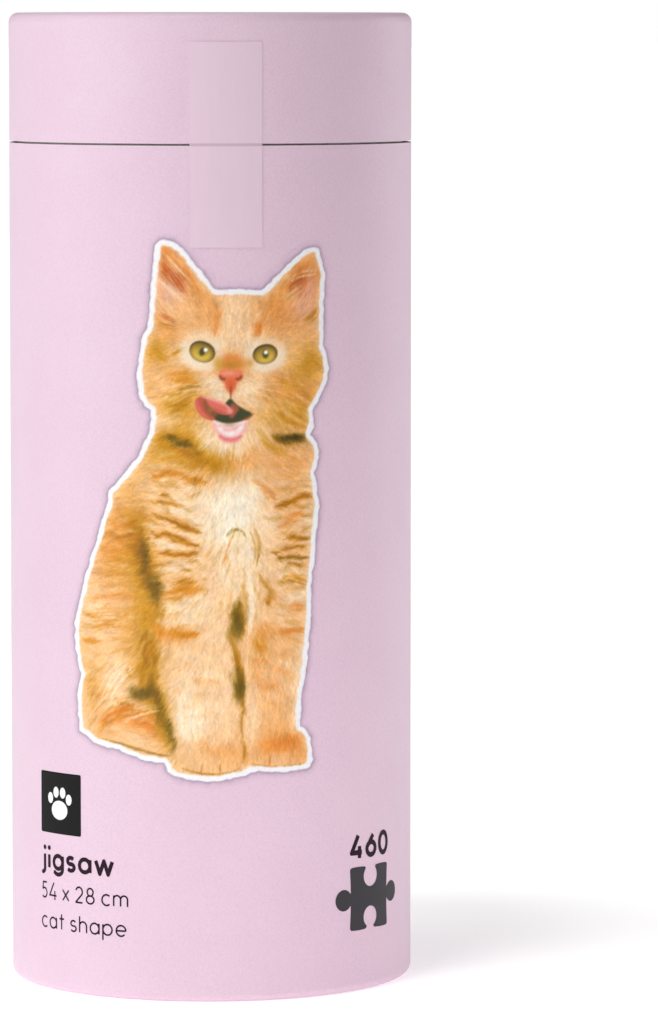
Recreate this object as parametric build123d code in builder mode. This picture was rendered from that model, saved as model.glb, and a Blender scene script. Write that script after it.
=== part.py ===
from build123d import *

import os
from math import atan2, ceil, cos, degrees, radians, sin, sqrt

import numpy as np

# Shouldered paperboard tube holding a bagged jigsaw puzzle in the shape of a sitting kitten.
# Millimetres, +Z up, origin at the centre of the bottom rim, printed front towards -Y.

# ---------------------------------------------------------------- driving dimensions
outer_radius = 42.5         # over the lilac wrap, lid and base alike
total_height = 204.0
seam_height = 177.0         # middle of the gap between lid and base
seam_gap = 0.4

wrap_thickness = 0.2        # lilac printed paper
board_wall = 1.5            # wound greyboard of lid and base
liner_thickness = 0.12      # white lining papers
rim_radius = 2.0            # outside bend of the rolled rims
rim_flat = 0.8              # width of the flat each rim stands on
rim_limb = 0.6              # straight end of the roll, pressed on to the disc
disc_thickness = 1.6
lap_width = 8.0             # overlap where the wrap meets itself at the back
lap_angle = degrees(lap_width / outer_radius)

neck_fit = 0.1              # radial play between the neck and the lid
neck_wall = 1.1
lid_rest_gap = 0.05         # play between the neck's top edge and the closed lid
glue_bottom = 120.0
glue_top = 172.0

tape_width = 15.0
tape_length = 42.0
tape_film = 0.06
tape_adhesive = 0.06
tape_centre = 3.2           # arc from the front centre line, towards +X

bag_film = 0.1
bag_radius = 38.5
bag_floor_gap = 0.1
bag_top_room = 1.5          # film stands this far above the highest piece
bag_edge_round = 0.6
bag_fin_width = 56.0        # heat-sealed strip across the top of the bag
bag_fin_height = 14.0
bag_fin_thickness = 0.2

piece_count = 460
puzzle_height = 540.0
piece_thickness = 1.9
knob_neck = 2.9             # width of a knob where it leaves its side
knob_radius = 2.15
shortest_knob_side = 9.0    # shorter sides are cut plain
smallest_knobbed_cell = 115.0
heap_radius = 37.9
heap_step = 0.5             # spacing of the height field and of the points on a piece
heap_clearance = 0.08
heap_tries = 300
steepest_lean = 0.15        # rise over run
lean_scatter = 0.02
snugness = 0.2              # weight of the empty space left under a piece
random_seed = 460

# ---------------------------------------------------------------- levels and radii
board_outer = outer_radius - wrap_thickness
board_inner = board_outer - board_wall
tube_bore = board_inner - liner_thickness
sleeve_outer = tube_bore - neck_fit
neck_outer = sleeve_outer - liner_thickness
neck_inner = neck_outer - neck_wall
neck_bore = neck_inner - liner_thickness
roll_outer_centre = outer_radius - rim_radius
roll_inner_centre = roll_outer_centre - rim_flat
base_edge = seam_height - seam_gap / 2
lid_edge = seam_height + seam_gap / 2
recess_depth = rim_radius + rim_limb
base_disc_bottom = recess_depth + liner_thickness
base_disc_top = base_disc_bottom + disc_thickness
floor_level = base_disc_top + liner_thickness
lid_face_top = total_height - recess_depth
lid_disc_top = lid_face_top - liner_thickness
lid_disc_bottom = lid_disc_top - disc_thickness
lid_ceiling = lid_disc_bottom - liner_thickness
neck_top = lid_ceiling - lid_rest_gap
bag_bottom = floor_level + bag_floor_gap
heap_floor = bag_bottom + bag_film + heap_clearance

os.makedirs("parts", exist_ok=True)


def save(part, name):
    """Label a finished piece and write it as its own file."""
    part.label = name
    export_step(part, f"parts/{name}.step")


# ---------------------------------------------------------------- profiles
def rolled_wall(outer_offset, inner_offset, rim_level, open_level):
    """Edges of a wall layer's half section, rolled inward at its rim, between two depths."""
    turn = 1 if open_level > rim_level else -1
    outer_bend = rim_radius - outer_offset
    inner_bend = rim_radius - inner_offset
    bend_level = rim_level + turn * rim_radius
    limb_level = bend_level + turn * rim_limb
    outer_centre = (roll_outer_centre, bend_level)
    inner_centre = (roll_inner_centre, bend_level)
    skin = outer_radius - outer_offset
    back = outer_radius - inner_offset
    limb_skin = roll_inner_centre - outer_bend
    limb_back = roll_inner_centre - inner_bend
    with BuildLine() as outline:
        Line((skin, open_level), (skin, bend_level))
        CenterArc(outer_centre, outer_bend, 0, -90 * turn)
        Line(
            (roll_outer_centre, rim_level + turn * outer_offset),
            (roll_inner_centre, rim_level + turn * outer_offset),
        )
        CenterArc(inner_centre, outer_bend, -90 * turn, -90 * turn)
        Polyline(
            (limb_skin, bend_level),
            (limb_skin, limb_level),
            (limb_back, limb_level),
            (limb_back, bend_level),
        )
        CenterArc(inner_centre, inner_bend, 180, 90 * turn)
        Line(
            (roll_inner_centre, rim_level + turn * inner_offset),
            (roll_outer_centre, rim_level + turn * inner_offset),
        )
        CenterArc(outer_centre, inner_bend, -90 * turn, 90 * turn)
        Polyline((back, bend_level), (back, open_level), (skin, open_level))
    return outline.edges()


def wall_section(inner, outer, bottom, top):
    """Rectangle between two radii and two levels, on the half-section plane."""
    with Locations(((inner + outer) / 2, (bottom + top) / 2)):
        Rectangle(outer - inner, top - bottom)


def lap_plane():
    """Half-section plane at the edge of the lap, which straddles the back."""
    return Plane.XZ.rotated((0, 0, 90 - lap_angle / 2))


# ---------------------------------------------------------------- base
with BuildPart() as base_tube:
    with BuildSketch(Plane.XZ):
        make_face(rolled_wall(wrap_thickness, wrap_thickness + board_wall, 0, base_edge))
    revolve(axis=Axis.Z)
save(base_tube.part, "base_tube")

with BuildPart() as base_tube_liner:
    with BuildSketch(Plane.XZ):
        wall_section(tube_bore, board_inner, floor_level, base_edge)
    revolve(axis=Axis.Z)
save(base_tube_liner.part, "base_tube_liner")

with BuildPart() as base_wrap:
    with BuildSketch(Plane.XZ):
        make_face(rolled_wall(0, wrap_thickness, 0, base_edge))
    revolve(axis=Axis.Z)
    with BuildSketch(lap_plane()):
        wall_section(outer_radius, outer_radius + wrap_thickness, recess_depth, base_edge)
    revolve(axis=Axis.Z, revolution_arc=lap_angle)
save(base_wrap.part, "base_wrap")

with BuildPart() as base_disc:
    with BuildSketch(Plane.XY.offset(base_disc_bottom)):
        Circle(board_inner)
    extrude(amount=disc_thickness)
save(base_disc.part, "base_disc")

with BuildPart() as base_disc_face:
    with BuildSketch(Plane.XY.offset(recess_depth)):
        Circle(board_inner)
    extrude(amount=liner_thickness)
save(base_disc_face.part, "base_disc_face")

with BuildPart() as base_floor_liner:
    with BuildSketch(Plane.XY.offset(base_disc_top)):
        Circle(neck_bore)
    extrude(amount=liner_thickness)
save(base_floor_liner.part, "base_floor_liner")

# ---------------------------------------------------------------- neck, fixed in the base
with BuildPart() as neck_tube:
    with BuildSketch(Plane.XZ):
        wall_section(neck_inner, neck_outer, base_disc_top, neck_top)
    revolve(axis=Axis.Z)
save(neck_tube.part, "neck_tube")

with BuildPart() as neck_sleeve:
    with BuildSketch(Plane.XZ):
        wall_section(neck_outer, sleeve_outer, base_disc_top, neck_top)
    revolve(axis=Axis.Z)
save(neck_sleeve.part, "neck_sleeve")

with BuildPart() as neck_liner:
    with BuildSketch(Plane.XZ):
        wall_section(neck_bore, neck_inner, base_disc_top, neck_top)
    revolve(axis=Axis.Z)
save(neck_liner.part, "neck_liner")

with BuildPart() as neck_glue:
    with BuildSketch(Plane.XZ):
        wall_section(sleeve_outer, tube_bore, glue_bottom, glue_top)
    revolve(axis=Axis.Z)
save(neck_glue.part, "neck_glue")

# ---------------------------------------------------------------- lid
with BuildPart() as lid_tube:
    with BuildSketch(Plane.XZ):
        make_face(rolled_wall(wrap_thickness, wrap_thickness + board_wall, total_height, lid_edge))
    revolve(axis=Axis.Z)
save(lid_tube.part, "lid_tube")

with BuildPart() as lid_tube_liner:
    with BuildSketch(Plane.XZ):
        wall_section(tube_bore, board_inner, lid_edge, lid_ceiling)
    revolve(axis=Axis.Z)
save(lid_tube_liner.part, "lid_tube_liner")

with BuildPart() as lid_wrap:
    with BuildSketch(Plane.XZ):
        make_face(rolled_wall(0, wrap_thickness, total_height, lid_edge))
    revolve(axis=Axis.Z)
    with BuildSketch(lap_plane()):
        wall_section(outer_radius, outer_radius + wrap_thickness, lid_edge, lid_face_top)
    revolve(axis=Axis.Z, revolution_arc=lap_angle)
save(lid_wrap.part, "lid_wrap")

with BuildPart() as lid_disc:
    with BuildSketch(Plane.XY.offset(lid_disc_bottom)):
        Circle(board_inner)
    extrude(amount=disc_thickness)
save(lid_disc.part, "lid_disc")

with BuildPart() as lid_disc_face:
    with BuildSketch(Plane.XY.offset(lid_disc_top)):
        Circle(board_inner)
    extrude(amount=liner_thickness)
save(lid_disc_face.part, "lid_disc_face")

with BuildPart() as lid_disc_liner:
    with BuildSketch(Plane.XY.offset(lid_ceiling)):
        Circle(board_inner)
    extrude(amount=liner_thickness)
save(lid_disc_liner.part, "lid_disc_liner")

# The tape is stuck to the lid; below the seam its film lies just off the base.
with BuildPart() as seal_tape:
    tape_angle = degrees(tape_width / outer_radius)
    tape_start = degrees(tape_centre / outer_radius) - 90 - tape_angle / 2
    film_inner = outer_radius + tape_adhesive
    film_outer = film_inner + tape_film
    with BuildSketch(Plane.XZ.rotated((0, 0, tape_start))):
        wall_section(film_inner, film_outer, seam_height - tape_length / 2, lid_edge)
        wall_section(outer_radius, film_outer, lid_edge, seam_height + tape_length / 2)
    revolve(axis=Axis.Z, revolution_arc=tape_angle)
save(seal_tape.part, "seal_tape")

# ---------------------------------------------------------------- cutting plan of the puzzle
# Outline of the printed kitten on the tube, clockwise from the left ear tip: arc and height.
kitten_outline = [
    (-9.3, 157.6), (-5.6, 155.7), (-0.2, 148.9), (1.0, 147.5), (10.5, 147.2), (13.5, 149.8),
    (19.8, 155.2), (22.1, 155.9), (24.1, 153.2), (24.9, 150.5), (24.4, 139.5), (24.4, 135.5),
    (25.8, 130.9), (23.2, 124.3), (22.1, 119.1), (23.4, 114.1), (22.3, 109.5), (23.5, 103.0),
    (21.5, 86.5), (21.5, 80.0), (20.4, 70.0), (18.9, 57.0), (20.3, 56.3), (21.9, 50.0),
    (19.0, 47.8), (8.0, 48.0), (4.0, 46.6), (-4.0, 46.3), (-8.8, 48.0), (-10.0, 49.8),
    (-19.5, 52.0), (-29.8, 55.5), (-30.3, 62.0), (-29.3, 67.5), (-30.8, 74.0), (-30.8, 78.0),
    (-27.8, 88.0), (-24.3, 97.5), (-22.0, 105.8), (-13.8, 115.9), (-12.2, 120.9), (-14.0, 123.4),
    (-15.4, 129.1), (-14.5, 136.8), (-12.9, 140.2), (-12.0, 151.4), (-11.3, 156.4),
]


def puzzle_outline():
    """The kitten outline at the size of the finished puzzle, from its bottom left corner."""
    points = np.array(kitten_outline)
    points = points - points.min(axis=0)
    return points * puzzle_height / points[:, 1].max()


def inside(points, polygon):
    """Which points lie in the polygon, by counting crossings."""
    x, y = points[:, 0, None], points[:, 1, None]
    x0, y0 = polygon[:, 0], polygon[:, 1]
    x1, y1 = np.roll(x0, -1), np.roll(y0, -1)
    straddles = (y0 > y) != (y1 > y)
    rise = np.where(y1 == y0, 1.0, y1 - y0)
    crossing = x0 + (y - y0) * (x1 - x0) / rise
    return (straddles & (x < crossing)).sum(axis=1) % 2 == 1


def nearest_on(polygon, point):
    """Nearest point of a closed polygon's edge."""
    start = polygon
    step = np.roll(polygon, -1, axis=0) - start
    along = ((point - start) * step).sum(axis=1) / (step**2).sum(axis=1)
    foot = start + np.clip(along, 0, 1)[:, None] * step
    return foot[np.argmin(((foot - point) ** 2).sum(axis=1))]


def kept_cells(outline, cell):
    """The piece_count grid cells that the outline covers most, as (row, column)."""
    columns = ceil(outline[:, 0].max() / cell)
    rows = ceil(outline[:, 1].max() / cell)
    samples = (np.arange(6) + 0.5) / 6 * cell
    grid = np.array([(x, y) for x in samples for y in samples])
    cover = {}
    for row in range(rows):
        for column in range(columns):
            hits = inside(grid + (column * cell, row * cell), outline)
            cover[row, column] = hits.mean()
    ranked = sorted(cover, key=lambda key: (-cover[key], key))
    return sorted(ranked[:piece_count])


def cut_plan():
    """Corners of the cutting grid, pulled on to the outline at its edge, and the cells kept."""
    outline = puzzle_outline()
    x, y = outline[:, 0], outline[:, 1]
    area = abs((x * np.roll(y, -1) - y * np.roll(x, -1)).sum()) / 2
    cell = sqrt(area / piece_count)
    cells = kept_cells(outline, cell)
    kept = set(cells)
    corners = {}
    for row, column in cells:
        for up in (0, 1):
            for across in (0, 1):
                key = (row + up, column + across)
                around = [(key[0] - i, key[1] - j) for i in (0, 1) for j in (0, 1)]
                corner = np.array([key[1] * cell, key[0] * cell])
                if all(c in kept for c in around):
                    corners[key] = corner
                else:
                    corners[key] = nearest_on(outline, corner)
    return cells, corners


puzzle_cells, grid_corners = cut_plan()
cutter = np.random.default_rng(random_seed)
knob_sides = {key: cutter.choice((-1, 1), 2) for key in sorted(grid_corners)}


def cell_area(row, column):
    """Area of a cell between its four corners, without knobs."""
    ring = [(row, column), (row, column + 1), (row + 1, column + 1), (row + 1, column)]
    x, y = np.array([grid_corners[key] for key in ring]).T
    return (x * np.roll(y, -1) - y * np.roll(x, -1)).sum() / 2




roomy_cells = {cell for cell in puzzle_cells if cell_area(*cell) > smallest_knobbed_cell}


def side_points(cell, start, end, neighbour):
    """A side's points in order; a knobbed side has neck, crown and neck between its ends."""
    tail, tip = grid_corners[start], grid_corners[end]
    span = tip - tail
    length = sqrt(span @ span)
    knobbed = cell in roomy_cells and neighbour in roomy_cells
    if not knobbed or length < shortest_knob_side:
        return [tail, tip]
    along = span / length
    first, last = sorted((start, end))
    bulge = knob_sides[first][last[0] - first[0]]
    if (start, end) != (first, last):
        bulge = -bulge
    across = bulge * np.array([-along[1], along[0]])
    middle = (tail + tip) / 2
    reach = knob_radius + sqrt(knob_radius**2 - (knob_neck / 2) ** 2)
    return [
        tail,
        middle - along * knob_neck / 2,
        middle + across * reach,
        middle + along * knob_neck / 2,
        tip,
    ]


def piece_sides(row, column):
    """Points of a piece's sides, anticlockwise; a side that the outline closed up is left out."""
    cell = (row, column)
    low_left, low_right = (row, column), (row, column + 1)
    high_left, high_right = (row + 1, column), (row + 1, column + 1)
    sides = [
        side_points(cell, low_left, low_right, (row - 1, column)),
        side_points(cell, low_right, high_right, (row, column + 1)),
        side_points(cell, high_right, high_left, (row + 1, column)),
        side_points(cell, high_left, low_left, (row, column - 1)),
    ]
    return [side for side in sides if np.ptp(side, axis=0).max() > 0]


# ---------------------------------------------------------------- heap of loose pieces
def surface_points(sides):
    """Points all over a piece, about heap_step apart, with the piece flat on its middle plane."""
    rim = []
    for points in sides:
        if len(points) == 2:
            runs = [points]
        else:
            centre = (points[1] + points[3]) / 2
            axis = points[2] - centre
            centre = points[2] - axis / sqrt(axis @ axis) * knob_radius
            spokes = [p - centre for p in points[1:4]]
            angles = np.unwrap([atan2(s[1], s[0]) for s in spokes])
            sweep = np.linspace(angles[0], angles[2], 12)
            arc = [centre + knob_radius * np.array([cos(a), sin(a)]) for a in sweep]
            runs = [points[:2], arc, points[3:]]
        for run in runs:
            for tail, tip in zip(run[:-1], run[1:]):
                gap = tip - tail
                count = max(1, ceil(sqrt(gap @ gap) / heap_step))
                rim += [tail + gap * k / count for k in range(count)]
    rim = np.array(rim)
    low, high = rim.min(axis=0), rim.max(axis=0)
    across = np.arange(low[0], high[0], heap_step)
    along = np.arange(low[1], high[1], heap_step)
    grid = np.array([(x, y) for x in across for y in along])
    filling = grid[inside(grid, rim)]
    centre = (low + high) / 2
    half = piece_thickness / 2
    layers = [(filling, -half), (filling, half)]
    layers += [(rim, level) for level in np.linspace(-half, half, 4)]
    cloud = [np.column_stack([flat - centre, np.full(len(flat), level)]) for flat, level in layers]
    return np.vstack(cloud), centre


def tilt_matrix(yaw, slope_x, slope_y):
    """Rotation that spins a flat piece by yaw and then lays it on a plane of the given slopes."""
    up = np.array([-slope_x, -slope_y, 1.0])
    up /= np.linalg.norm(up)
    heading = np.array([cos(yaw), sin(yaw), 0.0])
    heading -= up * (heading @ up)
    heading /= np.linalg.norm(heading)
    return np.column_stack([heading, np.cross(up, heading), up])


field_cells = int(2 * heap_radius / heap_step) + 6
height_field = np.full((field_cells, field_cells), heap_floor)
chance = np.random.default_rng(random_seed)


def field_index(cloud):
    """Height-field cells under a set of points."""
    index = np.floor(cloud[:, :2] / heap_step).astype(int) + field_cells // 2
    return index[:, 0], index[:, 1]


def drop(cloud):
    """Rest one piece on the heap: of many tries the lowest and snuggest. Returns turn and place."""
    thinned = cloud[::4]
    best = None
    for _ in range(heap_tries):
        yaw = chance.uniform(0, radians(360))
        bearing = chance.uniform(0, radians(360))
        reach = heap_radius * sqrt(chance.uniform(0, 1))
        flat = thinned @ tilt_matrix(yaw, 0, 0).T
        rim = np.hypot(flat[:, 0], flat[:, 1]).max()
        spot = np.array([cos(bearing), sin(bearing), 0]) * min(reach, heap_radius - rim)
        under = height_field[field_index(flat + spot)]
        design = np.column_stack([flat[:, 0], flat[:, 1], np.ones(len(flat))])
        slope = np.linalg.lstsq(design, under, rcond=None)[0][:2]
        slope = slope + chance.normal(0, lean_scatter, 2)
        slope *= min(1.0, steepest_lean / max(np.linalg.norm(slope), steepest_lean))
        turn = tilt_matrix(yaw, *slope)
        placed = thinned @ turn.T + spot
        if np.hypot(placed[:, 0], placed[:, 1]).max() > heap_radius:
            continue
        gap = height_field[field_index(placed)] - placed[:, 2]
        score = gap.max() + snugness * (gap.max() - gap.mean())
        if best is None or score < best[0]:
            best = (score, turn, spot)
    _, turn, spot = best
    placed = cloud @ turn.T + spot
    i, j = field_index(placed)
    lift = (height_field[i, j] - placed[:, 2]).max() + heap_clearance
    for di, dj in ((0, 0), (1, 0), (-1, 0), (0, 1), (0, -1)):
        np.maximum.at(height_field, (i + di, j + dj), placed[:, 2] + lift)
    return turn, spot + (0, 0, lift)


def puzzle_piece(sides, centre, turn, position):
    """One loose piece, cut flat and then moved to its place in the heap."""
    with BuildPart() as piece:
        with BuildSketch(Plane.XY.offset(-piece_thickness / 2)):
            with BuildLine():
                for points in sides:
                    flat = [tuple(p - centre) for p in points]
                    if len(flat) == 2:
                        Line(*flat)
                    else:
                        Line(*flat[:2])
                        ThreePointArc(*flat[1:4])
                        Line(*flat[3:])
            make_face()
        extrude(amount=piece_thickness)
    seat = Plane(origin=tuple(position), x_dir=tuple(turn[:, 0]), z_dir=tuple(turn[:, 2]))
    return piece.part.moved(seat.location)


# The sheet is broken up from the paws upward, so its rows lie in that order in the bag.
rows = sorted({row for row, _ in puzzle_cells})
for number, row in enumerate(rows, start=1):
    row_pieces = []
    for column in [c for r, c in puzzle_cells if r == row]:
        sides = piece_sides(row, column)
        cloud, centre = surface_points(sides)
        turn, position = drop(cloud)
        row_pieces.append(puzzle_piece(sides, centre, turn, position))
    save(Compound(children=row_pieces), f"puzzle_row_{number:02d}")

# ---------------------------------------------------------------- bag round the heap
heap_top = height_field.max()
bag_top = heap_top + bag_top_room


def bag_profile(offset):
    """Edges of the filled bag's half section, the given depth below its skin."""
    radius = bag_radius - offset
    low = bag_bottom + offset
    high = bag_top - offset
    bend = bag_edge_round - offset
    with BuildLine() as outline:
        Line((0, low), (radius - bend, low))
        CenterArc((radius - bend, low + bend), bend, -90, 90)
        Line((radius, low + bend), (radius, high - bend))
        CenterArc((radius - bend, high - bend), bend, 0, 90)
        Polyline((radius - bend, high), (0, high), (0, low))
    return outline.edges()


with BuildPart() as puzzle_bag:
    with BuildSketch(Plane.XZ):
        make_face(bag_profile(0))
    revolve(axis=Axis.Z)
    with BuildSketch(Plane.XY.offset(bag_top)):
        Rectangle(bag_fin_width, bag_fin_thickness)
    extrude(amount=bag_fin_height)
    with BuildSketch(Plane.XZ):
        make_face(bag_profile(bag_film))
    revolve(axis=Axis.Z, mode=Mode.SUBTRACT)
save(puzzle_bag.part, "puzzle_bag")

print(f"rows {len(rows)}, heap top {heap_top:.2f}, bag fin top {bag_top + bag_fin_height:.2f}")
print(f"lid ceiling {lid_ceiling:.2f}, neck bore {neck_bore:.2f}")
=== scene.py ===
from math import cos, pi, radians, sin, sqrt

import bmesh
import bpy
import numpy as np
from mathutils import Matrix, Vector


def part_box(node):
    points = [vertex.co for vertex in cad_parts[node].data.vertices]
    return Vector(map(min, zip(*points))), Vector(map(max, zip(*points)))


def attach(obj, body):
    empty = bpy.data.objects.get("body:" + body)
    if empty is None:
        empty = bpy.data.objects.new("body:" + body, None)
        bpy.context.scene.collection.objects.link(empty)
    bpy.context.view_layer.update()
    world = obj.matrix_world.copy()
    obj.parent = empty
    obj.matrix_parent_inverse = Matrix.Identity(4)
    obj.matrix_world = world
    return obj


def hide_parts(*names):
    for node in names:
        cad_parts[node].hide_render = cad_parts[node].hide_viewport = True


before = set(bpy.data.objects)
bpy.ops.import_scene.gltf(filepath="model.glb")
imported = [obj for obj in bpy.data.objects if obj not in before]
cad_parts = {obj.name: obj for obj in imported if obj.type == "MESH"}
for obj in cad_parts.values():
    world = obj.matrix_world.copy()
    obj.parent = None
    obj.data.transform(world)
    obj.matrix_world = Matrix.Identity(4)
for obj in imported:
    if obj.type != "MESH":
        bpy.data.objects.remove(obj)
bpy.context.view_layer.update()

# A lilac puzzle tube with a printed kitten. Metres; the front faces -Y and Z is up.
MM = 0.001
SEED = 460
TUBE_RADIUS = 0.0425
PRINT_LIFT = 0.00003
SEAM = (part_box("base_tube")[1][2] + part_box("lid_tube")[0][2]) / 2


# ---------------------------------------------------------------- helpers
def add(name, data):
    """A new object in the scene."""
    made = bpy.data.objects.new(name, data)
    bpy.context.collection.objects.link(made)
    return made


def material(name):
    """A fresh node material; returns it with its node tree and its shader."""
    mat = bpy.data.materials.new(name)
    mat.use_nodes = True
    tree = mat.node_tree
    return mat, tree, tree.nodes["Principled BSDF"]


def node(tree, kind, **settings):
    made = tree.nodes.new(kind)
    for key, value in settings.items():
        setattr(made, key, value)
    return made


def put(made, values):
    """Sets a node's inputs, given as a dictionary of input names and values."""
    for key, value in values.items():
        made.inputs[key].default_value = value


def link(tree, a, b):
    tree.links.new(a, b)


def linear(display):
    """Linear colour of a display colour given as 0 to 255."""
    s = np.asarray(display, float) / 255
    return np.where(s <= 0.04045, s / 12.92, ((s + 0.055) / 1.055) ** 2.4)


def rgba(display):
    return (*linear(display), 1.0)


def noise(tree, scale, detail=4.0, roughness=0.55, stretch=(1, 1, 1)):
    """Noise over the object's own metres; scale is features per metre."""
    place = node(tree, "ShaderNodeTexCoord")
    mapping = node(tree, "ShaderNodeMapping")
    made = node(tree, "ShaderNodeTexNoise")
    put(mapping, {"Scale": stretch})
    put(made, {"Scale": scale, "Detail": detail, "Roughness": roughness})
    link(tree, place.outputs["Object"], mapping.inputs["Vector"])
    link(tree, mapping.outputs["Vector"], made.inputs["Vector"])
    return made.outputs["Fac"]


def ramp(tree, source, stops):
    """Maps a 0 to 1 value to colours; stops are (place, display colour)."""
    made = node(tree, "ShaderNodeValToRGB")
    elements = made.color_ramp.elements
    while len(elements) < len(stops):
        elements.new(0.5)
    for element, (place, colour) in zip(elements, stops):
        element.position = place
        element.color = rgba(colour)
    link(tree, source, made.inputs["Fac"])
    return made.outputs["Color"]


def span(tree, source, low, high):
    """Maps a 0 to 1 value to the range low..high."""
    made = node(tree, "ShaderNodeMapRange")
    put(made, {"To Min": low, "To Max": high})
    link(tree, source, made.inputs["Value"])
    return made.outputs["Result"]


def mix(tree, factor, a, b, how="MIX"):
    """Mixes two colours; factor, a and b are sockets or plain values."""
    made = node(tree, "ShaderNodeMix", data_type="RGBA", blend_type=how)
    for socket, value in ((made.inputs[0], factor), (made.inputs[6], a), (made.inputs[7], b)):
        if isinstance(value, bpy.types.NodeSocket):
            link(tree, value, socket)
        else:
            socket.default_value = value
    return made.outputs[2]


def bump(tree, shader, height, distance):
    made = node(tree, "ShaderNodeBump")
    put(made, {"Distance": distance, "Strength": 1.0})
    link(tree, height, made.inputs["Height"])
    link(tree, made.outputs["Normal"], shader.inputs["Normal"])


def dress(tree, shader, colour, source, rough, relief=0.0, inputs=None):
    """Gives a shader its colour, and a roughness range and a relief that follow a source."""
    link(tree, colour, shader.inputs["Base Color"])
    link(tree, span(tree, source, *rough), shader.inputs["Roughness"])
    put(shader, inputs or {})
    if relief:
        bump(tree, shader, source, relief)


def surface(name, texture, stops, rough, relief=0.0, inputs=None):
    """A material whose colour, roughness and relief all follow one noise."""
    mat, tree, shader = material(name)
    source = noise(tree, *texture)
    dress(tree, shader, ramp(tree, source, stops), source, rough, relief, inputs)
    return mat


def paint_node(name, *materials):
    """Gives a CAD node its materials."""
    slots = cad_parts[name].data.materials
    slots.clear()
    for mat in materials:
        slots.append(mat)


# ---------------------------------------------------------------- paper and board
LILAC = (227, 198, 215)
LILAC_DEEP = (224, 194, 212)
CLEAN = (255, 255, 255)
TOOTH = (2600, 2)
TOOTH_RELIEF = 0.000012


def lilac_colour(tree):
    """Printed lilac with the faint cloudiness of the ink; returned with the noise of the paper's tooth."""
    cloud = noise(tree, 55, 3)
    grain = noise(tree, *TOOTH)
    base = ramp(tree, cloud, [(0.3, LILAC_DEEP), (0.7, LILAC)])
    speck = ramp(tree, grain, [(0.25, (244, 243, 244)), (0.6, CLEAN)])
    return mix(tree, 1.0, base, speck, "MULTIPLY"), grain


def lilac_paper():
    """Matt laminate: broad soft highlight, fine paper tooth."""
    mat, tree, shader = material("lilac_paper")
    gloss = {"Specular IOR Level": 0.5, "Sheen Weight": 0.1, "Sheen Roughness": 0.5}
    dress(tree, shader, *lilac_colour(tree), (0.44, 0.56), TOOTH_RELIEF, gloss)
    return mat


def greyboard():
    """Grey fibres, banded by the wound plies."""
    mat, tree, shader = material("greyboard")
    fibres = noise(tree, 900, 6, 0.7)
    plies = noise(tree, 300, 3, 0.5, (1, 1, 9))
    base = ramp(tree, fibres, [(0.3, (150, 140, 128)), (0.55, (176, 167, 154)), (0.75, (196, 188, 176))])
    banding = ramp(tree, plies, [(0.35, (226, 222, 216)), (0.6, CLEAN)])
    dress(tree, shader, mix(tree, 0.7, base, banding, "MULTIPLY"), fibres, (0.85, 0.98), 0.00006)
    return mat


def white_paper():
    stops = [(0.3, (232, 229, 224)), (0.6, (245, 243, 240))]
    return surface("white_paper", (1400, 5, 0.65), stops, (0.7, 0.85), 0.00003)


def dried_glue():
    stops = [(0.3, (224, 216, 196)), (0.7, (243, 240, 230))]
    return surface("dried_glue", (400, 4, 0.6, (1, 1, 0.2)), stops, (0.25, 0.5))


board = greyboard()
for mat, names in (
    (lilac_paper(), ("base_wrap", "lid_wrap", "base_disc_face", "lid_disc_face")),
    (board, ("base_tube", "lid_tube", "neck_tube", "base_disc", "lid_disc")),
    (white_paper(), ("base_tube_liner", "lid_tube_liner", "base_floor_liner", "lid_disc_liner",
                     "neck_sleeve", "neck_liner")),
    (dried_glue(), ("neck_glue",)),
):
    for name in names:
        paint_node(name, mat)


# ---------------------------------------------------------------- print on the tube
def wrapped(name, points, faces, lift, mat):
    """A thin sheet of print bent round the tube; points are (arc millimetres, height millimetres)."""
    radius = TUBE_RADIUS + lift
    turn = points[:, 0] * MM / TUBE_RADIUS
    place = np.column_stack([radius * np.sin(turn), -radius * np.cos(turn), points[:, 1] * MM])
    mesh = bpy.data.meshes.new(name)
    mesh.from_pydata(place.tolist(), [], faces)
    mesh.polygons.foreach_set("use_smooth", [True] * len(mesh.polygons))
    mesh.materials.append(mat)
    made = add(name, mesh)
    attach(made, "base")
    return made


def contour(field, low_u, low_v, pitch):
    """Points and faces of the region where a sampled field is positive, with its edge cut smoothly."""
    points, faces, seen = [], [], {}

    def place(key, row, column):
        if key not in seen:
            seen[key] = len(points)
            points.append((low_u + column * pitch, low_v + row * pitch))
        return seen[key]

    inside = field > 0
    near = inside[:-1, :-1] | inside[1:, :-1] | inside[:-1, 1:] | inside[1:, 1:]
    for i, j in zip(*np.nonzero(near)):
        ring = [(i, j), (i, j + 1), (i + 1, j + 1), (i + 1, j)]
        face = []
        for a, b in zip(ring, ring[1:] + ring[:1]):
            if inside[a]:
                face.append(place(a, *a))
            if inside[a] != inside[b]:
                t = field[a] / (field[a] - field[b])
                key = (min(a, b), max(a, b))
                face.append(place(key, a[0] + (b[0] - a[0]) * t, a[1] + (b[1] - a[1]) * t))
        faces.append(face)
    return np.array(points), faces


def printed(name, shape, box, pitch, mat, lift=PRINT_LIFT):
    """Prints the region where shape(u, v) is positive inside the box (u0, u1, v0, v1)."""
    us = np.arange(box[0], box[1] + pitch, pitch)
    vs = np.arange(box[2], box[3] + pitch, pitch)
    points, faces = contour(shape(*np.meshgrid(us, vs)), box[0], box[2], pitch)
    return wrapped(name, points, faces, lift, mat)


def arc(x, y, rx, ry, start, end, steps=14):
    """Points along an ellipse's arc, angles in degrees."""
    turns = [radians(start + (end - start) * k / steps) for k in range(steps + 1)]
    return [(x + rx * cos(t), y + ry * sin(t)) for t in turns]


def arch(x, width):
    """One hump of h or m, from the stem at x."""
    half = width / 2
    return [(x, 0.45)] + arc(x + half, 1 - half, half, half, 180, 0) + [(x + width, 0)]


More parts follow.
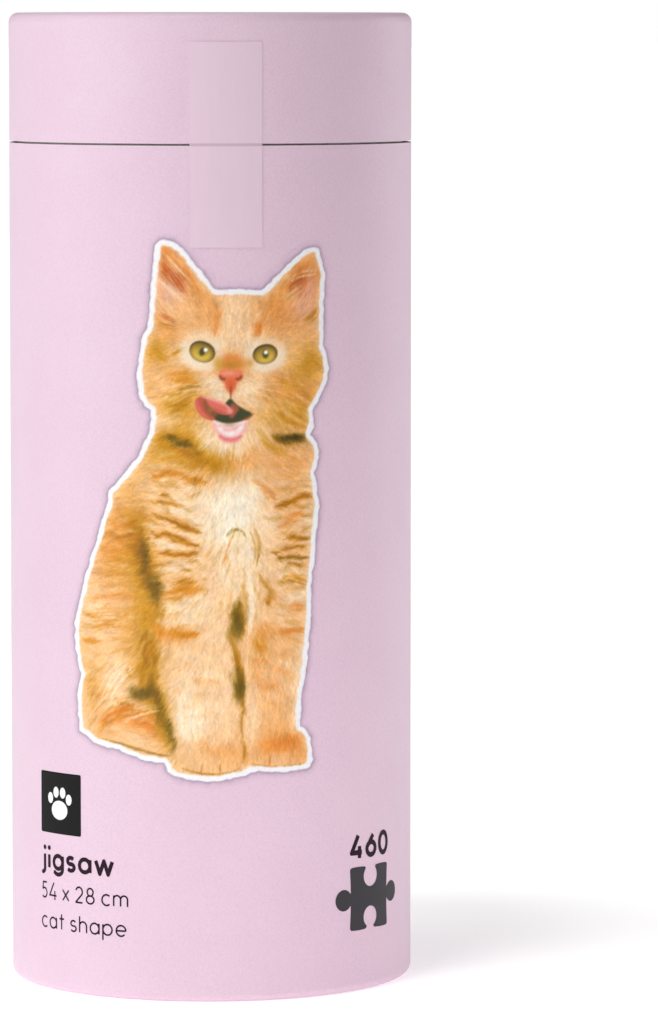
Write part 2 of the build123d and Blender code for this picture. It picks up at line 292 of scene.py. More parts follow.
def dot(x):
    """Dot of i or j."""
    return arc(x, 1.52, 0.03, 0.03, 0, 360, 6)


BOWL = arc(0.5, 0.5, 0.5, 0.5, 0, 360)
WORD_SPACE = 0.46
TEXT_PITCH = 0.09
TEXT_MARGIN = 0.3
# Strokes of each letter on a height of 1 for small letters, and for figures on their full height.
LETTERS = {
    "a": [BOWL, [(1, 1), (1, 0)]],
    "c": [arc(0.5, 0.5, 0.5, 0.5, 48, 312)],
    "e": [arc(0.5, 0.5, 0.5, 0.5, 0, 318), [(0, 0.5), (1, 0.5)]],
    "g": [BOWL, [(1, 1)] + arc(0.5, -0.02, 0.5, 0.42, 0, -150)],
    "h": [[(0, 0), (0, 1.5)], arch(0, 0.84)],
    "i": [[(0, 0), (0, 1)], dot(0)],
    "j": [[(0.3, 1)] + arc(0.02, -0.1, 0.28, 0.3, 0, -95), dot(0.3)],
    "m": [[(0, 0), (0, 1)], arch(0, 0.72), arch(0.72, 0.72)],
    "p": [BOWL, [(0, 1), (0, -0.5)]],
    "s": [arc(0.34, 0.74, 0.32, 0.26, 35, 240, 8) + arc(0.36, 0.26, 0.34, 0.26, 62, -150, 8)],
    "t": [[(0.3, 1.42), (0.3, 0)], [(0, 1), (0.64, 1)]],
    "w": [[(0, 1), (0.36, 0), (0.72, 1), (1.08, 0), (1.44, 1)]],
    "x": [[(0, 0), (0.82, 1)], [(0, 1), (0.82, 0)]],
    "0": [arc(0.34, 0.5, 0.34, 0.5, 0, 360, 20)],
    "2": [arc(0.3, 0.7, 0.28, 0.3, 165, -35, 10) + [(0, 0)], [(0, 0), (0.6, 0)]],
    "4": [[(0.46, 1.05), (0, 0.21), (0.72, 0.21)], [(0.55, 0.52), (0.55, -0.08)]],
    "5": [[(0.54, 1), (0.14, 1), (0.08, 0.58)] + arc(0.27, 0.31, 0.29, 0.31, 128, -140, 12)],
    "6": [[(0.5, 1), (0.07, 0.47)], arc(0.34, 0.32, 0.33, 0.32, 0, 360, 18)],
    "8": [arc(0.32, 0.75, 0.24, 0.25, 0, 360, 16), arc(0.32, 0.26, 0.31, 0.26, 0, 360, 16)],
}


def stroke_field(u, v, points, half):
    """Distance inside a stroke with square ends; negative outside."""
    closed = points[0] == points[-1]
    last = len(points) - 2
    best = np.full(u.shape, -np.inf)
    for k, ((x0, y0), (x1, y1)) in enumerate(zip(points, points[1:])):
        length = sqrt((x1 - x0) ** 2 + (y1 - y0) ** 2)
        if length < 1e-9:
            continue
        along = ((u - x0) * (x1 - x0) + (v - y0) * (y1 - y0)) / length
        across = ((u - x0) * (y1 - y0) - (v - y0) * (x1 - x0)) / length
        over = np.maximum(-along, along - length)
        value = half - np.where(over > 0, np.hypot(across, over), np.abs(across))
        if not closed and k == 0:
            value = np.minimum(value, along)
        if not closed and k == last:
            value = np.minimum(value, length - along)
        best = np.maximum(best, value)
    return best


def text_line(name, text, left, base, height, half, gap, mat, widen=1.0, figures=1.0):
    """Prints a line; height is that of the strokes' centre lines, left and base are its outer corner."""
    strokes = []
    x = left + half
    for letter in text:
        if letter == " ":
            x += WORD_SPACE * height
            continue
        scale = height * (figures if letter.isdigit() else 1)
        drawn = [[(px * scale * widen, base + half + py * scale) for px, py in stroke]
                 for stroke in LETTERS[letter]]
        strokes += [[(x + px, py) for px, py in stroke] for stroke in drawn]
        x += max(px for stroke in drawn for px, _ in stroke) + gap + 2 * half
    ends = np.vstack(strokes)
    high = ends.max(axis=0) + half + TEXT_MARGIN
    low = ends.min(axis=0) - half - TEXT_MARGIN

    def shape(u, v):
        return np.maximum.reduce([stroke_field(u, v, stroke, half) for stroke in strokes])

    return printed(name, shape, (left - TEXT_MARGIN, high[0], low[1], high[1]), TEXT_PITCH, mat)


def disc(u, v, x, y, rx, ry):
    """Positive inside an ellipse, about a distance in millimetres."""
    return (1 - np.sqrt(((u - x) / rx) ** 2 + ((v - y) / ry) ** 2)) * min(rx, ry)


def brick(u, v, u0, u1, v0, v1, corner):
    """Positive inside a rectangle with rounded corners."""
    dx = np.abs(u - (u0 + u1) / 2) - (u1 - u0) / 2 + corner
    dy = np.abs(v - (v0 + v1) / 2) - (v1 - v0) / 2 + corner
    return corner - np.hypot(np.maximum(dx, 0), np.maximum(dy, 0)) - np.minimum(np.maximum(dx, dy), 0)


def rounded_both(a, b, radius):
    """Positive where a and b both are, with the corners between them rounded."""
    short = np.hypot(np.maximum(radius - a, 0), np.maximum(radius - b, 0))
    return np.maximum(radius, np.minimum(a, b)) - short


ICON_MIDDLE = (38.1, 19.7)
# Knobs and sockets: centre and radius of the round part, then the box of its neck.
KNOBS = (((29.9, 19.7, 2.25), (30.5, 33.0, 18.4, 21.0)), ((46.2, 19.95, 2.2), (43.0, 45.6, 18.7, 21.2)))
SOCKETS = (((38.1, 24.2, 2.25), (36.9, 39.3, 25.0, 27.4)), ((38.0, 15.6, 2.2), (36.9, 39.0, 12.0, 14.6)))
LIP_ROUND = 0.75


def jigsaw_icon(u, v):
    """Dark jigsaw piece: knobs left and right, sockets above and below."""
    def tabs(parts):
        return [np.maximum(disc(u, v, *ball, ball[2]), brick(u, v, *neck, 0.1)) for ball, neck in parts]

    waist = 0.3 * ((v - ICON_MIDDLE[1]) / 6.7) ** 2
    bow = 0.35 * np.cos((u - ICON_MIDDLE[0]) / 6.4 * 5)
    shifted = v + 0.25 * np.sign(v - ICON_MIDDLE[1]) * bow
    body = brick(u, shifted, 31.9 - waist, 44.2 + waist, 13.1, 26.3, 0.6)
    return rounded_both(np.maximum.reduce([body] + tabs(KNOBS)), -np.maximum(*tabs(SOCKETS)), LIP_ROUND)


def mark_block(u, v):
    """Dark block behind the mark."""
    return brick(u, v, -42.1, -29.4, 33.3, 46.2, 0.25)


MARK_MIDDLE = -35.75
TOES = ((-2.9, 40.7), (-1.05, 42.0), (1.05, 42.0), (2.9, 40.7))


def paw_mark(u, v):
    """Plain paw print for the mark in the dark block."""
    toes = [disc(u, v, MARK_MIDDLE + x, y, 0.85, 1.15) for x, y in TOES]
    return np.maximum.reduce([disc(u, v, MARK_MIDDLE, 38.3, 2.5, 2.0)] + toes)


def ink(name, colour, fade=0.04):
    """Printed ink with the paper's tooth showing faintly."""
    stops = [(0.3, tuple(c * (1 - fade) for c in colour)), (0.7, colour)]
    return surface(name, TOOTH, stops, (0.4, 0.54), TOOTH_RELIEF, {"Specular IOR Level": 0.1})


TEXT_LEFT = -42.1
plum_ink = ink("plum_ink", (44, 22, 38))
printed("mark_block", mark_block, (-42.5, -29.0, 33.0, 46.6), 0.3, ink("black_ink", (24, 22, 24)))
printed("mark_paw", paw_mark, (-40.0, -31.5, 35.8, 43.6), 0.12, ink("white_ink", (244, 242, 244)),
        PRINT_LIFT + 0.00002)
text_line("word_line", "jigsaw", TEXT_LEFT, 25.5, 2.73, 0.435, 0.62, plum_ink, 1.04)
text_line("size_line", "54 x 28 cm", TEXT_LEFT, 19.3, 2.24, 0.18, 0.62, plum_ink, 1.0, 1.44)
text_line("shape_line", "cat shape", TEXT_LEFT, 13.1, 2.24, 0.18, 0.62, plum_ink)
text_line("piece_count", "460", 31.6, 28.0, 4.25, 0.525, 0.55, plum_ink, 1.02)
printed("jigsaw_icon", jigsaw_icon, (27.0, 49.0, 12.4, 27.2), 0.15, ink("icon_ink", (66, 63, 67)))


# ---------------------------------------------------------------- the kitten's picture, in tables
# Places are (arc, height) and lengths are widths, all in millimetres on the tube's face.
# Inks, as display values.
INK = {
    "border": (244, 242, 245), "shade": (132, 112, 142),
    "cream": (252, 235, 210), "pale": (251, 217, 180), "peach": (244, 194, 143),
    "ginger": (233, 163, 96), "orange": (224, 138, 62), "amber": (214, 148, 52),
    "gold": (206, 154, 48), "ochre": (176, 124, 28), "olive": (134, 104, 18),
    "moss": (98, 84, 18), "dark": (62, 60, 22),
    "rose": (238, 188, 164), "skin": (226, 152, 118), "rust": (190, 102, 52),
    "nose": (232, 122, 80), "philtrum": (212, 88, 42), "nostril": (142, 58, 28), "gum": (246, 170, 162),
    "tongue": (222, 108, 92), "curl": (196, 88, 66), "fold": (142, 84, 50), "lip": (236, 118, 120),
    "mouth": (62, 66, 38), "jaw": (248, 222, 220),
    "iris": (194, 152, 44), "iris_low": (224, 194, 88), "lid": (122, 96, 30), "rim": (70, 52, 26),
    "pupil": (62, 54, 24), "glint": (252, 252, 246), "white": (247, 230, 206),
}
# The painter's grid: its step, and the stretch of the tube's face that it covers.
PITCH = 0.113
U0, U1, V0, V1 = -33.5, 28.5, 44.0, 160.0
# Width of the pale border.
BORDER = 0.9
# Hairs are laid in batches, and each may be a little warmer or cooler than its root.
FUR_BATCHES = 24
WARMER = np.array([4, 0, -10])
# Tone of the finished picture; BRIGHT is the display value that keeps its lightness.
SATURATION = 1.14
DARK_SATURATION = 0.85
BRIGHT = 238
CONTRAST = 0.36
PRINT_LAYERS = ("print_colour", "print_cover", "print_halo")

# Cut edge of the picture.
OUTLINE = [
    (-9.3, 157.6), (-7.5, 157.2), (-5.6, 155.7), (-2.9, 152.3), (-0.2, 148.9), (1, 147.5), (3.5, 147.5),
    (6.6, 147.6), (10.5, 147.2), (13.5, 149.8), (17.1, 153.2), (19.8, 155.2), (22.1, 155.9), (23.2, 155.5),
    (24.1, 153.2), (24.9, 150.5), (24.6, 146.8), (24.4, 139.5), (24.6, 138.2), (24.4, 135.5), (25.4, 133.6),
    (25.8, 130.9), (25.7, 129.1), (24.4, 126.4), (23.2, 124.3), (21.9, 122.3), (22.1, 120.7), (22.1, 119.1),
    (21.2, 117.3), (22.8, 115.9), (23.4, 114.1), (23.2, 112.7), (22.3, 109.5), (22.9, 106.4), (23.5, 103),
    (23, 99), (22.3, 92), (21.5, 86.5), (21.5, 80), (20.4, 70), (19.5, 64), (19, 60), (18.9, 57),
    (20.3, 56.3), (21.3, 54.5), (21.9, 50), (21.3, 48.5), (19, 47.8), (14, 47.8), (8, 48), (6.8, 47.3),
    (4, 46.6), (0, 46.1), (-4, 46.3), (-7.3, 47), (-8.8, 48), (-10, 49.8), (-15, 50.5), (-19.5, 52),
    (-25.5, 53.3), (-28, 54.8), (-29.8, 55.5), (-29.8, 58), (-30.3, 62), (-29.3, 67.5), (-30, 69.5),
    (-30.8, 74), (-30.8, 78), (-29.5, 83), (-27.8, 88), (-25.8, 93.5), (-24.3, 97.5), (-22.4, 103),
    (-22, 105.8), (-18.4, 109.1), (-15.6, 112.7), (-13.8, 115.9), (-13.1, 117.7), (-12.2, 120.9),
    (-12.7, 122.7), (-14, 123.4), (-15, 125.9), (-15.4, 129.1), (-15.1, 133.2), (-14.5, 136.8),
    (-12.9, 140.2), (-12.7, 145), (-12, 151.4), (-11.3, 156.4), (-10.4, 157.4),
]
# Soft patches: u, v, half width, half height, lean in degrees, ink, strength; painted in order.
PATCHES = [
    # back and haunch
    (-20, 85, 12, 26, -12, "peach", 1), (-22, 99, 7, 10, -30, "ginger", 0.5),
    (-19, 92, 6, 8, -20, "ginger", 0.7), (-24, 80, 6, 9, 0, "peach", 0.8),
    (-26.5, 79, 3, 8, 0, "pale", 0.7), (-21, 76, 6, 4, 0, "ginger", 0.45),
    (-25.5, 66, 3.2, 7, 5, "amber", 0.75), (-19.5, 68.5, 4, 3.6, 20, "pale", 0.95),
    (-21, 63, 4, 3, 0, "peach", 0.8), (-24, 57.5, 4, 2.5, 0, "peach", 0.8),
    (-27.5, 60, 1.8, 5, 0, "pale", 0.5), (-17, 105, 3.5, 6, -30, "gold", 0.45),
    (-20, 97, 3, 3, -30, "ginger", 0.6),
    # shadow between haunch and foreleg
    (-16, 98, 3.6, 5.5, -12, "ochre", 0.8), (-14, 91.5, 3.4, 6, -10, "ochre", 0.95),
    (-17, 91, 4, 5, 0, "gold", 0.6), (-14.5, 81, 4, 8, 0, "gold", 0.75),
    (-13, 70, 2.8, 7, 10, "ochre", 0.8), (-9.6, 57.5, 2.2, 5.5, 12, "olive", 0.75),
    # hind foot
    (-16, 57, 7, 3.2, -12, "ginger", 0.95), (-11.5, 56.5, 3.2, 2.8, -25, "orange", 0.6),
    (-15, 59.8, 5, 1.2, 8, "orange", 0.55), (-15.5, 54.6, 5.5, 1.7, -14, "pale", 0.9),
    (-20, 55.4, 3.5, 1.2, -12, "peach", 0.8), (-11.5, 53.3, 2.6, 1.1, -14, "peach", 0.75),
    # chest and shoulders
    (5, 96, 17, 17, 0, "peach", 0.95), (-7, 108, 8, 4, 0, "ginger", 0.7), (-8, 113, 6, 4, -15, "gold", 0.7),
    (15, 109, 7, 6, 0, "peach", 0.7), (17, 112, 5, 3, 0, "ginger", 0.5), (12, 108, 4, 4, 0, "ginger", 0.55),
    (-3, 104.5, 6, 3.2, -15, "pale", 0.9), (-7, 103, 4, 2, -15, "pale", 0.9),
    (-8, 98.7, 4, 1.6, -15, "pale", 0.8), (-7, 94.8, 4, 1.4, -10, "pale", 0.8),
    (-6, 90.6, 4, 2, 0, "pale", 0.75), (-3, 82, 4.5, 3.6, 0, "pale", 0.85),
    (4.5, 102, 6.5, 5.2, 10, "cream", 1), (7, 107, 5, 3.6, 0, "cream", 0.85),
    (3, 98, 5, 3, 0, "cream", 0.9), (7, 92, 5, 6, 0, "cream", 0.75), (4, 89, 5, 4, 0, "pale", 0.55),
    (8.6, 83, 2.2, 5, 0, "pale", 0.8), (16, 98.3, 5, 1.6, 12, "pale", 0.6),
    (16, 90, 4, 2.4, 0, "pale", 0.55), (14, 84, 4, 4, 0, "pale", 0.6), (11, 100, 2.6, 3.6, 0, "pale", 0.75),
    (21.5, 98, 1.4, 9, 4, "cream", 0.55),
    # forelegs
    (-1.5, 66, 7.2, 17, 3, "pale", 0.9), (-1, 74, 5, 4, 0, "peach", 0.5), (-1.8, 66, 3, 4, 0, "peach", 0.9),
    (-4.4, 60, 2.2, 5, 0, "cream", 0.85), (1.6, 59, 2.6, 5, 0, "peach", 0.9),
    (-6, 77, 4, 1.5, 0, "ginger", 0.75), (14, 66, 5.6, 13, 0, "peach", 0.95),
    (12, 75.5, 5, 3, 0, "peach", 0.9), (10, 74.2, 1.5, 3, -30, "amber", 0.5),
    (9.6, 68, 1.6, 2.6, -25, "ginger", 0.7), (16.5, 76.8, 3.4, 1.1, -6, "ginger", 0.6),
    (18.7, 68, 1.4, 10, -3, "cream", 0.55), (12, 62, 2.8, 4, 0, "peach", 0.7),
    (8.6, 60, 1.3, 7, 0, "pale", 0.6),
    # paws
    (0, 50.6, 6.8, 3.6, 0, "peach", 1), (0.6, 53.2, 4, 1.3, -6, "orange", 0.6),
    (14.4, 52.4, 6.6, 3.8, 0, "ginger", 1), (13.5, 53.8, 4.6, 1.6, 6, "orange", 0.45),
    (17.5, 55, 2.4, 1.2, 0, "orange", 0.6), (14, 50.8, 5, 1.5, 0, "pale", 0.6),
    # neck under the chin
    (-7, 116.6, 3.6, 2.6, -20, "gold", 0.85), (-2.5, 113.9, 4, 2.2, -30, "ochre", 0.8),
    (0.6, 111.6, 3.4, 1.2, -8, "ochre", 0.75), (-7.2, 117, 2.1, 1, -8, "moss", 0.9),
    (-2.6, 114.4, 1.3, 1.6, -35, "olive", 0.8), (-7.2, 117, 1.2, 0.5, -8, "dark", 0.6),
    (16.6, 117, 3.2, 0.9, -4, "moss", 0.9), (16.6, 117.1, 2.3, 0.55, -5, "dark", 0.85),
    # head
    (5, 132, 20, 16, 0, "peach", 1), (4.5, 142, 9, 6, 0, "peach", 1), (5, 141.5, 3, 6, 0, "pale", 0.75),
    (-6, 143, 5, 3.4, -30, "ginger", 0.55), (-1, 143.5, 2.4, 3.4, 0, "ginger", 0.7),
    (12.5, 143, 3.2, 3.4, 20, "orange", 0.45), (-8, 139, 3, 2, -25, "ginger", 0.6),
    (17, 141, 4, 3, 20, "ginger", 0.5), (-11, 134.5, 2.6, 2.4, 0, "gold", 0.75),
    (-4.6, 129.6, 2.4, 1.5, -20, "amber", 0.75), (-6, 123.3, 4.4, 2.6, 0, "gold", 0.75),
    (-8.5, 121, 3, 1.4, 0, "pale", 0.7), (20.5, 132, 3.6, 3, 10, "gold", 0.8),
    (16, 127, 4.6, 2.4, 0, "amber", 0.5), (18, 122.4, 4.4, 2.6, 25, "gold", 0.7),
    (13, 128.6, 2.6, 1.2, 10, "ginger", 0.6), (20, 126, 2.6, 1.6, 20, "ginger", 0.6),
    (21, 119.5, 1.6, 1.4, 30, "gold", 0.6), (-12.4, 128, 1.6, 4, 0, "peach", 0.6),
    # pale mask round the eyes, muzzle and chin
    (-2.2, 133.9, 3.9, 2.5, -15, "white", 0.75), (1.4, 136, 1.5, 1.8, 0, "white", 0.6),
    (10.8, 133.2, 3.9, 2.2, 8, "white", 0.7), (8.6, 135.8, 1.6, 1.6, 0, "white", 0.6),
    (-1.5, 138.2, 3, 0.9, 0, "pale", 0.6), (5, 136, 2, 3.2, 0, "pale", 0.9),
    (1.2, 128.4, 2.6, 1.6, -10, "white", 0.75), (8.2, 127.2, 3.4, 2.2, 8, "white", 0.8),
    (2.2, 126.2, 1.8, 1.1, 0, "white", 0.8), (9.4, 123.9, 2.4, 1, -15, "white", 0.6),
    (3.8, 117, 4.8, 2.6, 0, "white", 0.8), (-1.6, 119.4, 2, 1.6, 0, "pale", 0.8),
    (9.4, 119.6, 2.2, 2.2, 0, "pale", 0.75), (3.9, 132.2, 2.8, 1.5, 0, "orange", 0.85),
    # ears
    (-7.4, 150.5, 3.8, 5, 20, "ginger", 0.9), (-9.4, 155.2, 1.6, 1.8, 20, "orange", 0.8),
    (-5.2, 152.4, 1.6, 2.8, 35, "orange", 0.55), (-8.6, 146.5, 2.4, 3.4, 0, "rose", 0.95),
    (-6.3, 148.4, 1.6, 2.8, 20, "rose", 0.7), (-9.6, 151.6, 1, 2.4, 10, "rust", 0.75),
    (-6, 149.4, 0.9, 1.6, 30, "rust", 0.75), (-10, 141.6, 1.4, 1.6, 0, "ginger", 0.7),
    (20, 150.4, 3.4, 4.6, -20, "ginger", 0.9), (17.4, 151.4, 1.8, 1.8, -45, "orange", 0.6),
    (20.4, 147.5, 2.4, 3.4, -10, "skin", 0.65), (20.6, 147, 1.8, 2.6, -10, "rose", 0.6),
    (18.6, 148.6, 1.2, 1.6, -40, "rust", 0.8), (23.4, 148, 0.8, 4, 0, "orange", 0.6),
    (19, 143.4, 2.4, 2, -20, "rose", 0.7), (15.5, 147.5, 1.4, 2, -40, "ginger", 0.8),
]
# Tabby stripes: points, half width, ink, strength.
STRIPES = [
    ([(-12.2, 101.6), (-8, 100), (-4, 98.7), (-1.6, 97.4)], 0.42, "ochre", 0.85),
    ([(-12, 97.6), (-8, 96.8), (-4.6, 95.6), (-2, 94.4)], 0.36, "ochre", 0.8),
    ([(-10, 93), (-6, 93), (-2.6, 93.5)], 0.32, "ochre", 0.75),
    ([(-10.4, 105.9), (-7.6, 105.2)], 0.45, "ochre", 0.7),
    ([(-12.4, 104.2), (-9.6, 104.2), (-6, 102.9)], 0.22, "ochre", 0.65),
    ([(-12.5, 109.4), (-8, 109.8), (-4, 109.2), (-0.6, 108.2)], 0.5, "amber", 0.7),
    ([(-3.4, 109.2), (-1.2, 108.4)], 0.7, "ochre", 0.6),
    ([(-10, 84.8), (-6, 86), (-3, 86.4), (-0.8, 85.6)], 0.5, "amber", 0.7),
    ([(-6.6, 87.2), (-4.4, 87.9), (-2.6, 87.4)], 0.45, "ochre", 0.55),
    ([(-12, 79), (-8.6, 76.4), (-5, 77.2), (-2.4, 77)], 0.6, "amber", 0.75),
    ([(13.4, 102.4), (16.4, 103.8), (19.6, 104.9), (21.6, 104.6)], 0.42, "ochre", 0.85),
    ([(13.6, 98.4), (16.6, 100.3), (19.4, 101.2)], 0.5, "ginger", 0.7),
    ([(15.2, 96.3), (18, 96.8), (20.8, 96.2)], 0.34, "ochre", 0.8),
    ([(12.4, 93.4), (16, 94.4), (20.2, 94.4)], 0.34, "ochre", 0.8),
    ([(13.6, 92.7), (17, 92), (20.2, 92.3)], 0.26, "olive", 0.75),
    ([(14.6, 87.6), (18, 88.6), (20.4, 87.4)], 0.36, "gold", 0.7),
    ([(15, 86.6), (18, 87.2), (20.4, 85.8)], 0.22, "ochre", 0.55),
    ([(16, 81.7), (19.6, 81.7)], 0.5, "ginger", 0.7),
    ([(14.2, 77.4), (17, 77), (19.6, 77.2)], 0.3, "orange", 0.6),
    ([(9, 108.6), (11.5, 107), (13.5, 104.6)], 0.4, "ginger", 0.6),
    ([(9.6, 88.4), (10.6, 87.6), (11.8, 86.2), (12.6, 84.6), (12, 82.6)], 0.35, "ochre", 0.7),
    ([(11.6, 84.8), (12.2, 83.4)], 0.8, "ochre", 0.55), ([(-27.6, 80), (-24, 79.6)], 0.25, "amber", 0.6),
    ([(-28, 75), (-24.5, 74.3)], 0.4, "amber", 0.6), ([(-20, 96.4), (-16, 97.2)], 0.3, "ochre", 0.6),
    ([(-24, 57.2), (-20, 59.6), (-16, 61), (-12, 60.6)], 0.35, "amber", 0.75),
    ([(-19, 61.6), (-16, 62)], 0.35, "ochre", 0.6), ([(-17.6, 69.5), (-16.6, 67)], 0.4, "gold", 0.7),
    ([(-14, 58.2), (-11, 56.6)], 0.3, "orange", 0.7),
    # tabby marks of the head
    ([(1.4, 144.6), (1.6, 140.6), (0.8, 138)], 0.35, "ginger", 0.6),
    ([(9.8, 140.8), (9.6, 137.8)], 0.3, "orange", 0.6), ([(-4.8, 135.8), (-7.5, 134.4)], 0.2, "gold", 0.6),
    ([(14, 123), (17, 120.6), (20.6, 118.8)], 0.3, "gold", 0.6),
    ([(-8, 115.6), (-4.5, 114.2), (-2, 112.2)], 0.3, "ochre", 0.6),
]
# Firm shapes: corner points, ink, strength, edge softness.
SHAPES = [
    # flank shadow, from the shoulder down to the hind foot
    ([(-18, 103.5), (-13.6, 100), (-12.6, 95), (-11, 89), (-9.6, 83.5), (-11.6, 76), (-11.6, 70),
      (-9, 62), (-7.4, 53), (-9.4, 52.6), (-11.6, 60), (-14.4, 66), (-15, 72), (-15.2, 80),
      (-15.8, 88), (-18, 95)], "gold", 0.85, 2.2),
    ([(-16.6, 101), (-13.4, 98.6), (-12.8, 93), (-10.8, 86.4), (-9, 81.6), (-10.6, 80.8),
      (-13.4, 86), (-15.4, 92), (-17.4, 97.4)], "ochre", 0.9, 1.4),
    ([(-14.2, 96.4), (-12.8, 95.2), (-12.4, 90.6), (-13.4, 88.4), (-14.4, 91.4)], "moss", 0.8, 1),
    ([(-13.2, 89.4), (-10.2, 87.2), (-9.2, 84.2), (-10.6, 82.6), (-12.4, 85.2)], "moss", 0.75, 1),
    ([(-13.4, 78), (-11.8, 76), (-11.6, 70), (-13.4, 70.4), (-14.6, 74)], "ochre", 0.8, 1.2),
    ([(-17.2, 65.6), (-14, 64.9), (-11.6, 66.8), (-10.4, 65.6), (-12.2, 63.6), (-15, 62.8),
      (-17.4, 63.8)], "moss", 0.85, 0.9),
    ([(-12.2, 69), (-10.6, 66), (-8.6, 58), (-7.8, 55), (-9.4, 56), (-11.4, 61),
      (-12.8, 65)], "olive", 0.85, 1),
    ([(-8.9, 60.2), (-7.9, 59), (-7.2, 52.6), (-8, 52), (-9.2, 55.6)], "moss", 0.7, 0.8),
    # gap between the forelegs
    ([(5.6, 84.2), (6.9, 81.4), (7.1, 79), (6.2, 76.6), (4.6, 75.4), (3, 75.8), (3.2, 77.4),
      (4.2, 79), (4.4, 81.4)], "olive", 0.95, 0.9),
    ([(5.4, 83), (6.5, 80.2), (5.9, 77.8), (4.6, 77.4), (4.7, 80.4)], "moss", 0.85, 0.8),
    ([(3.6, 76.4), (5, 75.4), (6.4, 71.4), (6.6, 68.8), (5, 69.4), (4, 72.6)], "ochre", 0.95, 0.9),
    ([(5, 71), (6.6, 69.4), (7.3, 66), (7, 63), (6, 62.2), (4.6, 64.6), (3.9, 67.6)], "olive", 1, 0.8),
    ([(5.3, 68), (6.5, 66.8), (6.3, 64), (5.4, 63.6), (4.7, 65.6)], "moss", 0.8, 0.7),
    ([(5.8, 63.4), (6.7, 63), (6.7, 57.4), (6.9, 51), (6.7, 50.2), (6.4, 53),
      (6.3, 58)], "ochre", 0.9, 0.35),
    # under the chin and at the sides of the neck
    ([(-11.2, 118.4), (-6, 118.6), (-2.2, 116.8), (0.2, 114.4), (1.4, 112.2), (-0.6, 111.4),
      (-4, 112.4), (-8.4, 114.2), (-11, 115.8)], "gold", 0.95, 1.8),
    ([(-5, 115.6), (-2, 115), (0.6, 112.8), (1.4, 111.2), (-0.6, 111.4), (-3.4, 112.8)], "ochre", 0.9, 1),
    ([(-9.8, 117.9), (-7.4, 118.3), (-4.6, 116.7), (-3.4, 114.9), (-5.4, 115.1),
      (-8, 116.2)], "moss", 0.9, 0.8),
    ([(-2.9, 115.6), (-1.7, 114.9), (-1.5, 113.5), (-2.6, 114)], "olive", 0.9, 0.6),
    ([(12, 118), (15.6, 117.9), (19.8, 117.6), (21, 116.6), (17.6, 115.7),
      (13.6, 115.9)], "olive", 0.95, 0.9),
    ([(14, 117.4), (17, 117.8), (19.4, 117.2), (17.6, 116.3), (15, 116.4)], "dark", 0.9, 0.7),
    ([(9.8, 117.4), (12.6, 115.8), (16.4, 113.8), (14, 113.4), (10.6, 115.2)], "gold", 0.7, 1.4),
]
# Light and tone laid over the shapes; the same values as the patches.
LIGHTS = [
    (-19.6, 82, 4.6, 9, 0, "peach", 0.55), (-19, 96, 2.6, 6, -15, "ginger", 0.6),
    (-24.2, 77, 4.4, 7, 0, "pale", 0.55), (-19.4, 103.5, 3, 4, -30, "peach", 0.65),
    (-27.4, 72, 2.6, 6, 0, "pale", 0.35), (-19.4, 65.5, 3, 4, 20, "pale", 0.5),
    (-10.8, 107.4, 5, 4.4, 0, "pale", 0.6), (-3.4, 107.2, 4, 2.6, 0, "pale", 0.35),
    (1.6, 112.6, 3.2, 1.7, -10, "gold", 0.75), (6.6, 112.8, 2.8, 1.8, 0, "ginger", 0.6),
    (-2.4, 62, 5.4, 11, 0, "cream", 0.35), (1.6, 76.4, 3.4, 3.6, 0, "pale", 0.6),
    (1.8, 61, 2.8, 5.6, 0, "pale", 0.6), (-3.4, 82, 3.8, 3.4, 0, "cream", 0.45),
    (8.6, 57.6, 1.6, 5.2, 0, "pale", 0.7), (-8.4, 142.5, 3.4, 2.6, 0, "pale", 0.45),
    (-3.4, 142, 2.4, 3, 0, "pale", 0.35), (5, 142.6, 2.6, 4.4, 0, "pale", 0.5),
    (12, 126, 3.2, 2.2, 0, "ginger", 0.4), (12.4, 122, 3, 2.2, 0, "gold", 0.35),
    (-4.6, 119, 2.4, 2, 0, "gold", 0.45), (4.4, 102.8, 4, 4, 20, "glint", 0.45),
    (0.4, 104, 3.6, 1.6, -20, "cream", 0.6),
]
# Zones of tabby clumps: u, v, half width, half height, lean, spacing, dark ink, strength.
CLUMPS = [
    (-7.4, 98, 6, 14, -14, 2.7, "ochre", 0.85), (17.2, 92, 5.4, 14, 10, 2.6, "ochre", 0.82),
    (17, 108, 5, 5, 0, 2.8, "amber", 0.5), (-6, 81, 5, 6, 6, 3, "amber", 0.6),
    (13.4, 72, 5, 8, -20, 3.4, "orange", 0.5), (-23.4, 80, 6, 12, 4, 2.9, "amber", 0.42),
    (-20, 96, 4.4, 8, 10, 2.6, "ochre", 0.4), (-22, 62, 5.5, 6, 25, 2.6, "ochre", 0.4),
    (3.6, 92, 4.4, 9, 66, 2, "gold", 0.5), (8.6, 84, 2.6, 7, 80, 1.7, "ochre", 0.55),
    (-2, 66, 5, 11, 12, 3.6, "ginger", 0.4), (-7, 124.5, 5.4, 5, 20, 2, "ochre", 0.4),
    (17, 124, 5.4, 6, -35, 2.2, "ochre", 0.42), (5, 142, 7, 5, 88, 2.1, "ginger", 0.34),
    (4.5, 115.5, 6, 3.4, 80, 1.6, "gold", 0.35), (2, 108, 6, 3.6, 70, 2, "ginger", 0.34),
    (-12, 76, 3, 14, 80, 2.2, "olive", 0.4),
]
